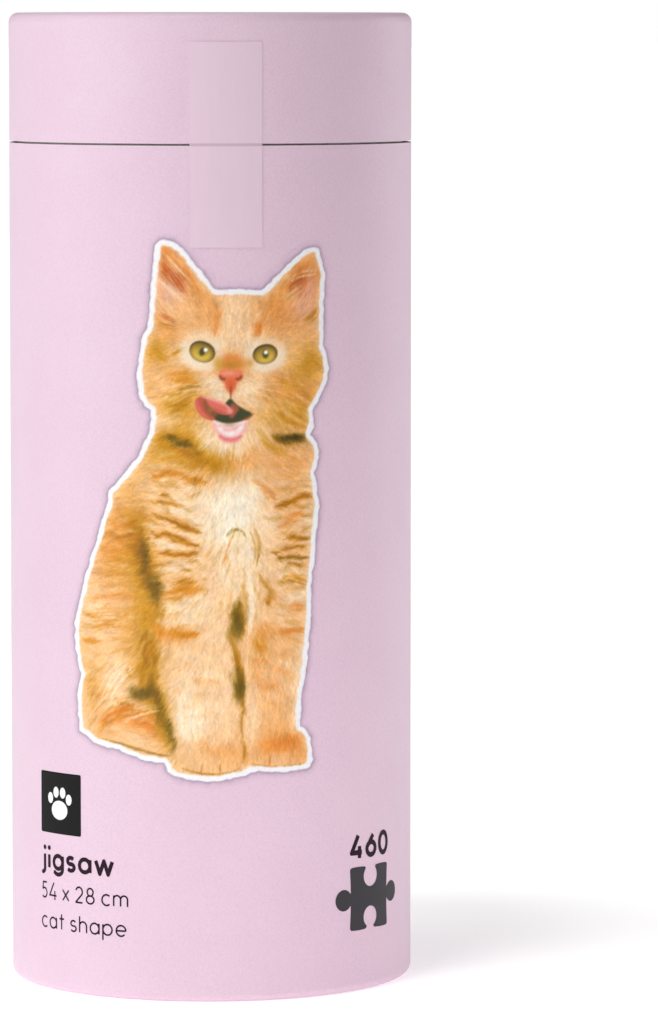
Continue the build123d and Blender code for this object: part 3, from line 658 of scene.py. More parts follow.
# Fur direction: u, v, heading in degrees (90 is up).
COMB = [
    (-9, 153, 125), (-6, 147, 130), (-10, 146, 110), (-4, 150, 140), (20, 152, 60), (17, 149, 50),
    (21, 146, 70), (0, 145, 105), (5, 145, 90), (10, 145, 78), (5, 139, 90), (-6, 141, 150), (15, 141, 30),
    (-10, 138, 175), (21, 138, 5), (-12, 133, 190), (-8, 130, 195), (-4, 129, 200), (22, 132, -10),
    (17, 129, -15), (13, 128, -18), (-12, 127, 205), (-8, 124, 215), (-4, 122, 225), (20, 125, -35),
    (16, 122, -40), (12, 123, -35), (4, 134, 90), (4, 131, 90), (0, 127, 220), (8, 127, -35), (3, 117, 265),
    (-1, 118, 240), (9, 118, -60), (-8, 117, 200), (-2, 113, 215), (4, 112, 268), (12, 114, -40),
    (18, 116, -25), (20, 112, -40), (-8, 109, 195), (-10, 103, 168), (-8, 98, 160), (-8, 93, 175),
    (-6, 88, 190), (0, 106, 250), (4, 102, 268), (10, 104, -60), (17, 104, 15), (18, 99, 5), (18, 94, 0),
    (18, 88, -15), (18, 82, -12), (18, 77, -8), (2, 95, 250), (6, 92, 275), (10, 92, -65), (1, 88, 240),
    (8, 85, 280), (12, 86, -60), (-3, 84, 235), (4, 81, 262), (-20, 105, 200), (-20, 98, 190),
    (-24, 90, 188), (-17, 92, 195), (-13, 95, 215), (-22, 84, 184), (-16, 84, 205), (-26, 77, 180),
    (-20, 77, 186), (-14, 77, 240), (-26, 69, 215), (-20, 69, 225), (-15, 69, 240), (-11, 66, 235),
    (-25, 60, 235), (-19, 62, 210), (-14, 58, 190), (-10, 60, 250), (-18, 55, 170), (-12, 54, 170),
    (-8, 55, 250), (-4, 78, 230), (-3, 72, 250), (-3, 64, 265), (-4, 57, 268), (1, 60, 275), (2, 70, 280),
    (6, 70, 270), (6, 60, 270), (11, 74, 290), (12, 66, 275), (16, 70, 278), (16, 60, 272), (-4, 51, 255),
    (1, 51, 270), (5, 51, 285), (10, 52, 260), (15, 52, 275), (19, 52, 290),
]
# Loose hairs laid over the fur: path, half width, ink, strength, how many, spread.
TUFTS = [
    # left ear
    ([(-9.3, 152.4), (-7.4, 150.4), (-5.6, 147.2)], 0.22, "rust", 0.75, 5, 0.6),
    ([(-9.9, 150.4), (-8.4, 149.2), (-6.8, 147)], 0.16, "rust", 0.7, 4, 0.7),
    ([(-9.8, 154.6), (-7.2, 152), (-4.6, 149)], 0.11, "cream", 0.8, 6, 0.7),
    ([(-10.6, 150), (-8, 147.6), (-4.8, 144.4)], 0.11, "cream", 0.7, 6, 0.9),
    ([(-5.6, 151.6), (-3.4, 148.4), (-2.2, 146)], 0.16, "orange", 0.6, 4, 0.5),
    ([(-10.6, 142.2), (-8.8, 141.6), (-7.2, 140.6)], 0.2, "rust", 0.6, 4, 0.5),
    ([(-10.8, 140.4), (-9, 139.8), (-7, 139.6)], 0.16, "ochre", 0.6, 3, 0.5),
    # right ear
    ([(16.2, 146.9), (17.6, 148.6), (19.2, 149.6)], 0.26, "rust", 0.8, 5, 0.5),
    ([(16, 148.6), (18.8, 150.4), (22.8, 150.6)], 0.1, "cream", 0.75, 5, 0.6),
    ([(15.6, 145.4), (18, 147.2), (20, 148.4)], 0.1, "cream", 0.75, 5, 0.7),
    ([(20, 140.8), (21.6, 141.4), (22.8, 142.8)], 0.22, "ochre", 0.65, 5, 0.6),
    # brow and bridge
    ([(1, 142.4), (1.2, 140.2), (0.9, 138.2)], 0.26, "ginger", 0.7, 4, 0.4),
    ([(9.4, 141), (9.4, 139), (9.1, 137.6)], 0.24, "orange", 0.6, 3, 0.3),
    ([(-5, 136), (-6.6, 134.8), (-8, 134.2)], 0.16, "ochre", 0.6, 3, 0.3),
    # cheeks and whisker pads
    ([(-4, 130.2), (-6, 129.6), (-8.4, 129.4)], 0.26, "amber", 0.7, 6, 0.8),
    ([(-2, 127.8), (-4, 127.4), (-6.6, 126.6)], 0.12, "olive", 0.6, 6, 0.7),
    ([(14.6, 128.8), (17, 128), (19.4, 127.4)], 0.22, "gold", 0.6, 5, 0.8),
    ([(-11.4, 135.4), (-10.2, 134.2), (-8.6, 133.4)], 0.3, "gold", 0.6, 5, 0.8),
    ([(-4.6, 124.6), (-6.6, 123.6), (-8.6, 122.8)], 0.22, "ochre", 0.6, 6, 0.7),
    # chin
    ([(0, 118.4), (-1, 116.4), (-2.4, 115)], 0.14, "cream", 0.7, 8, 1.2),
    ([(5, 116), (5.2, 114.2), (4.8, 112.2)], 0.14, "cream", 0.6, 8, 1.4),
    ([(9.4, 119), (10.4, 116.6), (12.2, 114.8)], 0.12, "gold", 0.6, 6, 1),
    # chest swirl
    ([(3.2, 96.6), (4.6, 98.2), (6.6, 97.9), (7.2, 96.4)], 0.16, "olive", 0.65, 3, 0.3),
    ([(2.8, 91.4), (3.6, 94.4), (4.6, 96.6)], 0.18, "ginger", 0.6, 5, 0.5),
    ([(4.6, 96.2), (3.8, 93.6), (5.2, 91)], 0.16, "cream", 0.85, 5, 0.4),
    ([(6.6, 96.6), (8.2, 93.6), (7.4, 89)], 0.14, "cream", 0.8, 6, 0.5),
    ([(9, 98), (10.4, 94.6), (9.4, 90.6)], 0.14, "ochre", 0.6, 5, 0.6),
    ([(1.6, 92), (3.4, 88), (4.6, 84.4)], 0.13, "cream", 0.7, 9, 1.2),
    ([(7.4, 90), (8.6, 84), (7.8, 77)], 0.13, "cream", 0.8, 9, 0.8),
    ([(10.4, 90), (10.8, 84), (9.6, 79)], 0.13, "pale", 0.7, 7, 0.7),
    # flank, haunch and hind foot
    ([(-15.6, 92), (-19, 91.4), (-22.4, 90.8)], 0.13, "gold", 0.6, 8, 1.6),
    ([(-15.4, 84.6), (-19.6, 84.2), (-24, 83.4)], 0.16, "ginger", 0.7, 9, 2.2),
    ([(-19, 78.6), (-23.4, 78.2), (-27.8, 77.8)], 0.16, "amber", 0.6, 9, 2.2),
    ([(-17.6, 70.4), (-20.8, 67), (-23.4, 62.6)], 0.14, "cream", 0.75, 9, 1.4),
    ([(-20.2, 63.8), (-24, 60.6), (-26.6, 57.4)], 0.14, "pale", 0.7, 8, 1.2),
    ([(-16.8, 61.8), (-20.8, 60.2), (-24.4, 57.8)], 0.2, "orange", 0.7, 5, 0.7),
    ([(-10.6, 61.4), (-14, 60.8), (-18.6, 59.2)], 0.14, "cream", 0.6, 6, 0.8),
    # legs and paws
    ([(-8.2, 78), (-5.6, 76.6), (-2.8, 76.4)], 0.22, "amber", 0.7, 6, 0.8),
    ([(9.2, 75.4), (10.4, 73.6), (11, 71.6)], 0.24, "amber", 0.7, 6, 0.8),
    ([(14, 77.6), (16.6, 76.8), (19.6, 76.8)], 0.24, "ginger", 0.7, 4, 0.5),
    ([(3.6, 74.4), (4.6, 70.8), (4.8, 66.4)], 0.12, "pale", 0.7, 8, 0.5),
    ([(8, 76), (7.4, 70), (7.6, 64)], 0.12, "pale", 0.7, 8, 0.5),
    ([(-6.4, 64), (-6.6, 60), (-6, 55)], 0.12, "cream", 0.7, 8, 0.5),
    ([(-1.8, 49.6), (-2.2, 48.2), (-2, 47.2)], 0.13, "ochre", 0.7, 2, 0.2),
    ([(1.8, 49.8), (1.8, 48.2), (1.6, 47.2)], 0.13, "ochre", 0.7, 2, 0.2),
    ([(12.4, 51.4), (12, 50), (12.2, 49)], 0.13, "rust", 0.6, 2, 0.2),
    ([(16.6, 51.4), (16.8, 50), (16.4, 49)], 0.13, "rust", 0.6, 2, 0.2),
    ([(-6.6, 48.9), (-2, 47.5), (3.6, 47.6), (6, 48.8)], 0.22, "ochre", 0.7, 2, 0.15),
    ([(8.2, 49.8), (12, 48.9), (17, 48.9), (20.4, 49.4)], 0.22, "ochre", 0.7, 2, 0.15),
    ([(-24.4, 54.6), (-18, 53.2), (-11, 51.6), (-8.4, 51.4)], 0.22, "olive", 0.65, 2, 0.15),
]
# Whiskers: path, half width.
WHISKERS = [
    ([(-0.6, 127.6), (-5.5, 128.3), (-10.5, 127)], 0.07), ([(-0.4, 127), (-5.5, 127), (-10, 125.2)], 0.07),
    ([(-0.4, 126.6), (-4.5, 125.9), (-8, 123.8)], 0.06), ([(9, 127.8), (14, 128.2), (19, 126.6)], 0.07),
    ([(9.2, 127.2), (14.5, 126.4), (19.5, 123.8)], 0.07),
    ([(9.2, 126.6), (13.5, 124.6), (17.5, 121.4)], 0.07),
    ([(9.4, 126), (12.6, 122.8), (15.4, 118.8)], 0.06),
]


us, vs = np.meshgrid(np.arange(U0, U1, PITCH) + PITCH / 2, np.arange(V0, V1, PITCH) + PITCH / 2)
canvas = np.empty(us.shape + (3,))
canvas[:] = INK["peach"]
rng = np.random.default_rng(SEED)


def border_distance(u, v, outline):
    """Signed distance to the closed outline, positive inside."""
    ring = np.array(outline)
    best = np.full(u.shape, np.inf)
    odd = np.zeros(u.shape, bool)
    for (x0, y0), (x1, y1) in zip(ring, np.roll(ring, -1, axis=0)):
        dx, dy = x1 - x0, y1 - y0
        t = np.clip(((u - x0) * dx + (v - y0) * dy) / (dx * dx + dy * dy), 0, 1)
        best = np.minimum(best, (u - x0 - t * dx) ** 2 + (v - y0 - t * dy) ** 2)
        if y0 != y1:
            odd ^= ((y0 > v) != (y1 > v)) & (u < x0 + (v - y0) * dx / dy)
    return np.sqrt(best) * np.where(odd, 1, -1)


def smooth_noise(cell):
    """Value noise in -1..1 over the grid, with the given cell size in grid steps."""
    rows, columns = us.shape
    coarse = rng.uniform(-1, 1, (int(rows / cell) + 3, int(columns / cell) + 3))
    parts = []
    for count in (rows, columns):
        place = np.arange(count) / cell
        whole = place.astype(int)
        part = place - whole
        parts.append((whole, part * part * (3 - 2 * part)))
    (iy, fy), (ix, fx) = parts
    low, high = ((coarse[np.ix_(i, ix)] * (1 - fx) + coarse[np.ix_(i, ix + 1)] * fx) for i in (iy, iy + 1))
    return low * (1 - fy[:, None]) + high * fy[:, None]


def ripple(*waves):
    """Sum of smooth noises, each given as its cell size and its height."""
    return sum(smooth_noise(cell) * height for cell, height in waves)


def blend(target, colour, alpha):
    """Moves a field of colours by alpha towards a colour, or towards another field, in place."""
    target += (np.asarray(colour, float) - target) * alpha[..., None]


def window(cx, cy, reach):
    """Slices of the grid within reach of a point."""
    return tuple(
        slice(max(int((c - reach - low) / PITCH), 0), min(int((c + reach - low) / PITCH) + 2, count))
        for c, low, count in zip((cy, cx), (V0, U0), us.shape)
    )


def turned(x, y, lean):
    """Coordinates along and across a direction that leans by an angle in degrees."""
    c, s = cos(radians(lean)), sin(radians(lean))
    return x * c + y * s, -x * s + y * c


def patch(cx, cy, rx, ry, lean, ink, strength, hard=1.0, u=us, v=vs):
    """One soft elliptical patch; hard above 1 firms its edge."""
    near = window(cx, cy, 2.2 * max(rx, ry))
    along, across = turned(u[near] - cx, v[near] - cy, lean)
    d = (along / rx) ** 2 + (across / ry) ** 2
    blend(canvas[near], INK[ink], strength * np.exp(-(d ** hard) * 0.8))


def stroke(points, half, ink, strength, u=us, v=vs):
    """A soft line through the points, tapered at both ends."""
    pts = np.array(points, float)
    lo, hi = pts.min(axis=0), pts.max(axis=0)
    near = window(*(lo + hi) / 2, max(hi - lo) / 2 + 4 * half + 0.3)
    x, y = u[near], v[near]
    lengths = np.hypot(*np.diff(pts, axis=0).T)
    run = np.concatenate([[0], np.cumsum(lengths)]) / lengths.sum()
    best = np.full(x.shape, np.inf)
    where = np.zeros(x.shape)
    for k, (start, d) in enumerate(zip(pts, np.diff(pts, axis=0))):
        t = np.clip(((x - start[0]) * d[0] + (y - start[1]) * d[1]) / (d @ d), 0, 1)
        dist = (x - start[0] - t * d[0]) ** 2 + (y - start[1] - t * d[1]) ** 2
        closer = dist < best
        best = np.where(closer, dist, best)
        where = np.where(closer, run[k] + t * (run[k + 1] - run[k]), where)
    width = half * np.sqrt(np.clip(4 * where * (1 - where), 0.02, 1))
    blend(canvas[near], INK[ink], strength * np.exp(-(best / width ** 2) * 0.7))


def tabby(points, half, ink, strength, u, v):
    """A clump of banded hair: warm band, dark line under it and a pale lit edge above it."""
    stroke(points + (0, 0.9 * half + 0.25), half * 1.5, "pale", 0.7 * strength, u, v)
    stroke(points, half * 2.1, "ginger", 0.75 * strength, u, v)
    stroke(points - (0, 0.25 * half), half * 1.05, ink, min(1.0, strength * 1.2), u, v)


def clump(cx, cy, rx, ry, lean, spacing, ink, strength):
    """Wavering bands of darker hair with pale tips between them."""
    wander = ripple((26, 1.3), (10, 0.45))
    ragged = np.clip(0.55 + 0.9 * smooth_noise(17), 0, 1)
    along, across = turned(us - cx, vs - cy, lean)
    zone = np.exp(-(((us - cx) / rx) ** 2 + ((vs - cy) / ry) ** 2) ** 2 * 0.5)
    wave = np.sin(2 * pi * (across + wander) / spacing + 0.12 * along)
    blend(canvas, INK["cream"], 0.8 * strength * zone * ragged * np.clip(-wave, 0, 1))
    blend(canvas, INK[ink], strength * zone * ragged * np.clip(wave, 0, 1) ** 2.2)


def quarters(points):
    """The points a quarter and three quarters along each side."""
    q = np.empty((2 * len(points) - 2, 2))
    q[0::2] = points[:-1] * 0.75 + points[1:] * 0.25
    q[1::2] = points[:-1] * 0.25 + points[1:] * 0.75
    return q


def bend(points, rounds=2):
    """Cuts the corners of an open line, keeping its ends."""
    p = np.array(points, float)
    for _ in range(rounds if len(p) > 2 else 0):
        p = np.vstack([p[:1], quarters(p), p[-1:]])
    return p


def shape_mask(points, soft, u, v):
    """One inside the closed shape with its corners cut, falling to zero over the soft edge."""
    p = np.array(points + points[:1], float)
    for _ in range(2):
        q = quarters(p)
        p = np.vstack([q, q[:1]])
    near = window(*p.mean(axis=0), np.ptp(p, axis=0).max() / 2 + 1.5)
    mask = np.zeros(us.shape)
    mask[near] = np.clip(0.5 + border_distance(u[near], v[near], p[:-1]) / soft, 0, 1)
    return mask


def fill(points, ink, soft, strength=1.0, u=us, v=vs):
    """One firm shape with a soft edge."""
    blend(canvas, INK[ink], strength * shape_mask(points, soft, u, v))


def line(points, half, ink, strength):
    """A soft curved line."""
    stroke(bend(points), half, ink, strength)


def comb_field():
    """Unit fur direction at every grid point, blended from the comb marks."""
    step, reach, far_pull, tiny = 5, 2.6, 1e-9, 1e-12
    u, v = us[::step, ::step], vs[::step, ::step]
    fx, fy = np.zeros(u.shape), np.zeros(u.shape)
    for x, y, heading in COMB:
        gap = (u - x) ** 2 + (v - y) ** 2
        weight = np.exp(-gap / (2 * reach ** 2)) + far_pull / (1 + gap)
        fx += weight * cos(radians(heading))
        fy += weight * sin(radians(heading))
    length = np.hypot(fx, fy) + tiny
    return [np.kron(f / length, np.ones((step, step)))[:us.shape[0], :us.shape[1]] for f in (fx, fy)]


flow = comb_field()


def look(field, x, y):
    """Values of a field at the grid points nearest to places in millimetres."""
    j = np.clip(((x - U0) / PITCH).astype(int), 0, field.shape[1] - 1)
    i = np.clip(((y - V0) / PITCH).astype(int), 0, field.shape[0] - 1)
    return field[i, j]


def fur(source, inside, count, length, tint, opacity, warm):
    """Lays hairs over the canvas; each takes its colour from the source at its root."""
    rows, columns = us.shape
    for part in np.array_split(scatter(inside, count), FUR_BATCHES):
        n = len(part)
        x, y = part.T.copy()
        colour = look(source, x, y) * (1 + rng.normal(0, tint, n))[:, None]
        colour = colour + warm * rng.normal(0, 1, n)[:, None] * WARMER
        turn = rng.normal(0, 0.22, n)
        curl = rng.normal(0, 0.10, n)
        steps = int(np.ceil(length * 1.3 / (PITCH * 0.8)))
        step = length * rng.uniform(0.5, 1.3, n) / steps
        weight = np.zeros(rows * columns)
        total = np.zeros((3, rows * columns))
        for k in range(steps):
            a, b = look(flow[0], x, y), look(flow[1], x, y)
            c, s = np.cos(turn), np.sin(turn)
            x += (a * c - b * s) * step
            y += (a * s + b * c) * step
            turn += curl * 0.2
            w = opacity * (1 - ((k + 0.5) / steps) ** 2)
            gx, gy = (x - U0) / PITCH - 0.5, (y - V0) / PITCH - 0.5
            j, i = np.floor(gx).astype(int), np.floor(gy).astype(int)
            tx, ty = gx - j, gy - i
            ok = (i >= 0) & (j >= 0) & (i < rows - 1) & (j < columns - 1)
            for di, dj, share in ((0, 0, (1 - tx) * (1 - ty)), (0, 1, tx * (1 - ty)),
                                  (1, 0, (1 - tx) * ty), (1, 1, tx * ty)):
                cell = ((i + di) * columns + j + dj)[ok]
                dab = (w * share)[ok]
                weight += np.bincount(cell, dab, weight.size)
                for channel in range(3):
                    total[channel] += np.bincount(cell, dab * colour[ok, channel], weight.size)
        mean = total / np.maximum(weight, 1e-9)
        blend(canvas, mean.T.reshape(rows, columns, 3), (1 - np.exp(-weight)).reshape(rows, columns))


def scatter(inside, count):
    """Random places in millimetres inside a region of the grid."""
    i, j = np.nonzero(inside)
    pick = rng.integers(0, len(i), count)
    u = U0 + (j[pick] + rng.uniform(0, 1, count)) * PITCH
    return np.column_stack([u, V0 + (i[pick] + rng.uniform(0, 1, count)) * PITCH])


def soft_step(t, width):
    """One where t is below zero, falling to zero over the width."""
    return np.clip(0.5 - t / width, 0, 1)


def eye(cx, cy, rx, ry, lean, glint):
    """Pale surround, dark rim, iris shaded under the lid, pupil and glint."""
    p, q = turned(us - cx, vs - cy, lean)
    p, q = p / rx, q / ry
    lid = np.clip(1 - np.abs(p) ** 2.4, 0, 1) ** 0.62
    edge = np.where(np.abs(p) > 1, 1.0, np.where(q > 0, q, -q * 1.02) - lid)
    far = np.maximum(np.hypot(p / 1.45, q / 1.6) - 1, 0)
    blend(canvas, INK["white"], 0.72 * np.exp(-(far / 0.22) ** 2) * (0.55 + 0.45 * soft_step(q - 0.4, 1.2)))
    rim = np.where(q > 0, 0.16, 0.05)
    blend(canvas, INK["rim"], (0.55 + 0.4 * soft_step(-q, 0.8)) * soft_step(edge - rim, 0.14))
    ball = soft_step(edge + 0.05, 0.14)
    r = np.hypot(p * rx / ry * 0.86, q)
    shade = np.clip(0.42 + 0.62 * q + 0.12 * p, 0, 1)[..., None]
    colour = np.array(INK["iris"]) * (1 - shade) + np.array(INK["lid"]) * shade
    colour = colour * (1 + 0.06 * np.sin(np.arctan2(q, p) * 23) * np.clip(r * 1.2, 0, 1))[..., None]
    glow = np.exp(-((r - 0.6) / 0.26) ** 2) * np.clip(0.7 - 0.8 * q + 0.25 * p, 0, 1) * 0.75
    blend(colour, INK["iris_low"], glow)
    blend(colour, INK["rim"], np.clip((r - 0.9) / 0.3, 0, 1) * 0.6)
    blend(canvas, colour, ball)
    pupil = (p * rx / 0.55) ** 2 + ((q - 0.06) * ry / 0.82) ** 2
    blend(canvas, INK["pupil"], 0.9 * soft_step(pupil - 1, 1.4) * ball)
    spark = np.hypot(us - glint[0], vs - glint[1]) / 0.40
    blend(canvas, INK["glint"], soft_step(spark - 1, 0.7))


def nose():
    patch(4.3, 132.5, 2.7, 1.5, 0, "orange", 0.85, 1.6)
    patch(4.3, 131.9, 1.9, 0.8, 0, "ochre", 0.55)
    patch(1.5, 132.3, 0.8, 1.0, 20, "gold", 0.8)
    patch(8.0, 132.4, 0.9, 0.8, -20, "amber", 0.8)
    fill([(1.5, 130.5), (2.6, 131.2), (4.1, 130.8), (5.7, 131.2), (6.8, 130.4), (6.4, 129.2), (5.4, 128.4),
          (5.0, 127.2), (4.3, 126.2), (3.8, 126.2), (3.1, 127.2), (2.8, 128.4), (1.8, 129.2)], "nose", 0.55)
    patch(4.1, 127.9, 1.0, 1.3, 0, "philtrum", 0.85)
    patch(3.6, 130.3, 1.3, 0.45, 0, "gum", 0.6)
    line([(1.7, 129.9), (2.3, 129.0), (3.1, 129.2)], 0.32, "nostril", 0.85)
    line([(6.5, 129.9), (5.9, 129.0), (5.0, 129.2)], 0.32, "nostril", 0.85)
    line([(4.1, 127.6), (4.1, 125.0)], 0.2, "nostril", 0.8)


def mouth():
    fill([(4.1, 125.3), (5.1, 124.0), (6.8, 122.9), (8.6, 122.1), (8.3, 121.4), (7.2, 120.8), (5.4, 120.1),
          (2.9, 119.9), (0.8, 120.7), (-0.9, 121.6), (0.4, 122.6), (2.4, 123.2), (3.2, 124.5)], "mouth", 0.4)
    line([(5.4, 120.1), (7.4, 120.9), (8.9, 122.0)], 0.32, "fold", 0.7)
    fill([(4.2, 124.3), (5.2, 123.8), (6.0, 122.9), (5.2, 122.1), (4.5, 121.0), (3.7, 121.2), (3.9, 122.8)],
         "curl", 0.5, 0.75)
    fill([(0.1, 120.8), (0.6, 119.0), (1.4, 117.6), (2.6, 116.6), (4.3, 116.2), (5.9, 116.7), (6.9, 118.0),
          (7.4, 119.6), (7.6, 120.8), (5.4, 120.1), (2.9, 119.8)], "jaw", 0.4)
    line([(0.5, 120.3), (1.2, 118.4), (2.4, 117.4)], 0.4, "gum", 0.85)
    line([(7.3, 120.3), (6.8, 118.4), (5.8, 117.4)], 0.4, "gum", 0.85)
    line([(1.4, 119.7), (3.0, 118.6), (4.8, 118.7), (6.4, 119.8)], 0.3, "gum", 0.8)
    line([(1.5, 117.6), (2.9, 116.7), (4.7, 116.5), (6.5, 117.5)], 0.55, "lip", 0.95)
    patch(3.9, 119.7, 1.3, 0.45, 0, "fold", 0.4)
    for x, y in ((2.0, 118.9), (4.0, 117.9), (6.2, 119.1)):
        patch(x, y, 0.5, 0.4, 0, "glint", 0.7)


def tongue():
    fill([(-3.1, 125.0), (-2.2, 125.6), (-0.6, 125.3), (0.4, 124.8), (-0.3, 124.2), (-0.7, 123.0),
          (0.0, 121.8), (1.1, 121.0), (0.2, 120.5), (-1.6, 121.2), (-2.9, 122.7), (-3.3, 124.2)],
         "curl", 0.35)
    line([(-2.8, 124.9), (-2.9, 123.6), (-1.9, 122.0), (-0.3, 120.9)], 0.4, "tongue", 0.85)
    fill([(-1.7, 125.0), (-0.6, 124.9), (0.7, 123.6), (1.7, 122.2), (1.0, 121.3), (-0.4, 121.6),
          (-1.5, 123.0)], "fold", 0.7, 0.85)
    fill([(-0.9, 125.3), (0.6, 124.9), (2.6, 124.3), (4.2, 123.1), (4.6, 122.2), (3.8, 121.7), (1.9, 121.9),
          (0.4, 122.9), (-0.8, 124.3)], "tongue", 0.4)
    line([(-1.8, 125.4), (0.4, 124.9), (2.6, 124.1), (4.0, 123.0)], 0.26, "gum", 0.8)
    line([(0.4, 123.2), (1.8, 122.3), (3.4, 121.9)], 0.3, "curl", 0.7)
    patch(3.9, 122.6, 0.6, 0.5, -20, "gum", 0.7)


def tuft(points, half, ink, strength, count, spread):
    """Several wandering hairs along one path."""
    for _ in range(count):
        shift = rng.normal(0, spread * 0.6, 2)
        wander = rng.normal(0, spread * 0.22, (len(points), 2))
        width = half * rng.uniform(0.6, 1.2)
        stroke(bend(np.array(points) + shift + wander), width, ink, strength * rng.uniform(0.6, 1.0))


def tone():
    """Deepens the colours, most where they are dark, and lifts the whole towards a bright print."""
    luma = (canvas @ np.array([0.30, 0.59, 0.11]))[..., None]
    light = luma / BRIGHT
    canvas[:] = luma + (canvas - luma) * (SATURATION + DARK_SATURATION * (1 - light))
    canvas[:] *= light ** CONTRAST


def kitten_picture():
    """Paints the kitten; returns how far the print covers the paper, and its printed shade."""
    wobble = ripple((12, 0.2), (6, 0.1))
    u = us + ripple((22, 0.55), (8, 0.28))
    v = vs + ripple((22, 0.55), (8, 0.28))
    dist = border_distance(us, vs, OUTLINE)
    for values in PATCHES:
        patch(*values, u=u, v=v)
    for points, ink_name, strength, soft in SHAPES:
        fill(points, ink_name, soft, strength, u, v)
    for values in LIGHTS:
        patch(*values, u=u, v=v)
    for values in CLUMPS:
        clump(*values)
    for points, half, ink_name, strength in STRIPES:
        tabby(bend(points), half, ink_name, strength, u, v)
    fringe = np.clip((2.6 - dist) / 1.4, 0, 1) * 0.55
    blend(canvas, INK["pale"], fringe * np.clip(dist, 0, 1))
    source = canvas * (1 + ripple((7, 0.05), (18, 0.04)))[..., None]
    body = dist > BORDER
    fur(source, body, 22000, 2.4, 0.06, 0.75, 0.9)
    for values in TUFTS:
        tuft(*values)
    source = canvas * 0.45 + source * 0.55
    fur(source, body, 30000, 1.5, 0.055, 0.5, 0.7)
    face = (np.abs(us - 4.5) < 13) & (vs > 119) & (vs < 146)
    fur(source, body & face, 9000, 0.8, 0.05, 0.6, 0.5)
    tone()
    eye(-1.78, 134.6, 2.72, 1.95, -20, (-1.05, 135.1))
    eye(11.32, 134.0, 2.68, 1.85, 10, (11.42, 134.5))
    nose()
    mouth()
    tongue()
    for points, half in WHISKERS:
        stroke(bend(points, 3), half, "white", 0.5)
    dist += wobble
    blend(canvas, INK["border"], 1 - np.clip((dist - BORDER) / 0.35, 0, 1))
    cover = np.clip(dist / 0.16 + 0.5, 0, 1)
    halo = np.exp(-(np.clip(-dist, 0, None) / 0.55) ** 1.3) * 0.8 * (1 - cover)
    return cover, halo


def kitten_material():
    """Print colours from the sheet's own attributes, over the same lilac paper as the wrap."""
    mat, tree, shader = material("kitten_print")
    paper, grain = lilac_colour(tree)
    layers = [node(tree, "ShaderNodeAttribute", attribute_name=name) for name in PRINT_LAYERS]
    colour, cover, halo = (layer.outputs for layer in layers)
    hairs = noise(tree, 3200, 3, 0.6, (1, 1, 0.45))
    tooth = ramp(tree, hairs, [(0.3, (236, 234, 232)), (0.6, CLEAN)])
    coat = mix(tree, 0.6, colour["Color"], tooth, "MULTIPLY")
    shaded = mix(tree, halo["Fac"], paper, rgba(INK["shade"]))
    both = mix(tree, cover["Fac"], shaded, coat)
    dress(tree, shader, both, grain, (0.46, 0.58), TOOTH_RELIEF, {"Specular IOR Level": 0.3})
    return mat


def halve(field):
    """Mean of each 2 by 2 block."""
    rows, columns = field.shape[0] // 2 * 2, field.shape[1] // 2 * 2
    f = field[:rows, :columns]
    return (f[0::2, 0::2] + f[1::2, 0::2] + f[0::2, 1::2] + f[1::2, 1::2]) / 4


def kitten_sheet():
    """The painted picture as a fine sheet whose points carry its colours."""
    u, v, colours, cover, halo = (halve(f) for f in (us, vs, canvas, *kitten_picture()))
    wanted = (cover > 0.004) | (halo > 0.012)
    index = np.full(wanted.shape, -1)
    index[wanted] = np.arange(wanted.sum())
    i, j = np.nonzero(wanted[:-1, :-1] & wanted[1:, :-1] & wanted[:-1, 1:] & wanted[1:, 1:])
    quads = np.column_stack([index[i, j], index[i, j + 1], index[i + 1, j + 1], index[i + 1, j]])
    used = np.unique(quads)
    renumber = np.full(wanted.sum(), -1)
    renumber[used] = np.arange(len(used))
    points = np.column_stack([u[wanted], v[wanted]])[used]
    made = wrapped("kitten_print", points, renumber[quads].tolist(), PRINT_LIFT, kitten_material())
    layers = made.data.attributes
    values = np.column_stack([linear(np.clip(colours[wanted][used], 0, 255)), np.ones(len(used))])
    layers.new(PRINT_LAYERS[0], "FLOAT_COLOR", "POINT").data.foreach_set("color", values.ravel())
    for name, field in zip(PRINT_LAYERS[1:], (cover, halo)):
        layers.new(name, "FLOAT", "POINT").data.foreach_set("value", field[wanted][used])


kitten_sheet()


# ---------------------------------------------------------------- seal tape
TAPE = (240, 212, 228)
TAPE_DEEP = (237, 209, 225)
# painted shade: darker tape colour at the seam's height, for the shade of the gap between base and lid under
# the tape
TAPE_SEAM_SHADE = (214, 184, 202)
# how far above and below the seam the painted shade reaches, in metres
SEAM_SHADE_REACH = 0.0004


def matt_tape():
    """Thin matt tape over lilac paper, with painted shade: a narrow darker band at the seam between base and
    lid stands for the shade of the gap under the tape.
    """
    mat, tree, shader = material("matt_tape")
    streaks = noise(tree, 700, 3, 0.5, (1, 1, 0.08))
    tint = ramp(tree, streaks, [(0.3, TAPE_DEEP), (0.7, TAPE)])
    place = node(tree, "ShaderNodeTexCoord")
    axes = node(tree, "ShaderNodeSeparateXYZ")
    above = node(tree, "ShaderNodeMath", operation="SUBTRACT")
    away = node(tree, "ShaderNodeMath", operation="ABSOLUTE")
    near = node(tree, "ShaderNodeMapRange", interpolation_type="SMOOTHSTEP")
    above.inputs[1].default_value = SEAM
    put(near, {"From Min": SEAM_SHADE_REACH / 2, "From Max": SEAM_SHADE_REACH, "To Min": 1.0, "To Max": 0.0})
    link(tree, place.outputs["Object"], axes.inputs[0])
    link(tree, axes.outputs["Z"], above.inputs[0])
    link(tree, above.outputs[0], away.inputs[0])
    link(tree, away.outputs[0], near.inputs["Value"])
    # painted shade of the gap under the tape, strongest at the seam's height
    colour = mix(tree, near.outputs["Result"], tint, rgba(TAPE_SEAM_SHADE))
    dress(tree, shader, colour, streaks, (0.44, 0.54), inputs={"Alpha": 0.85})
    return mat


paint_node("seal_tape", matt_tape())


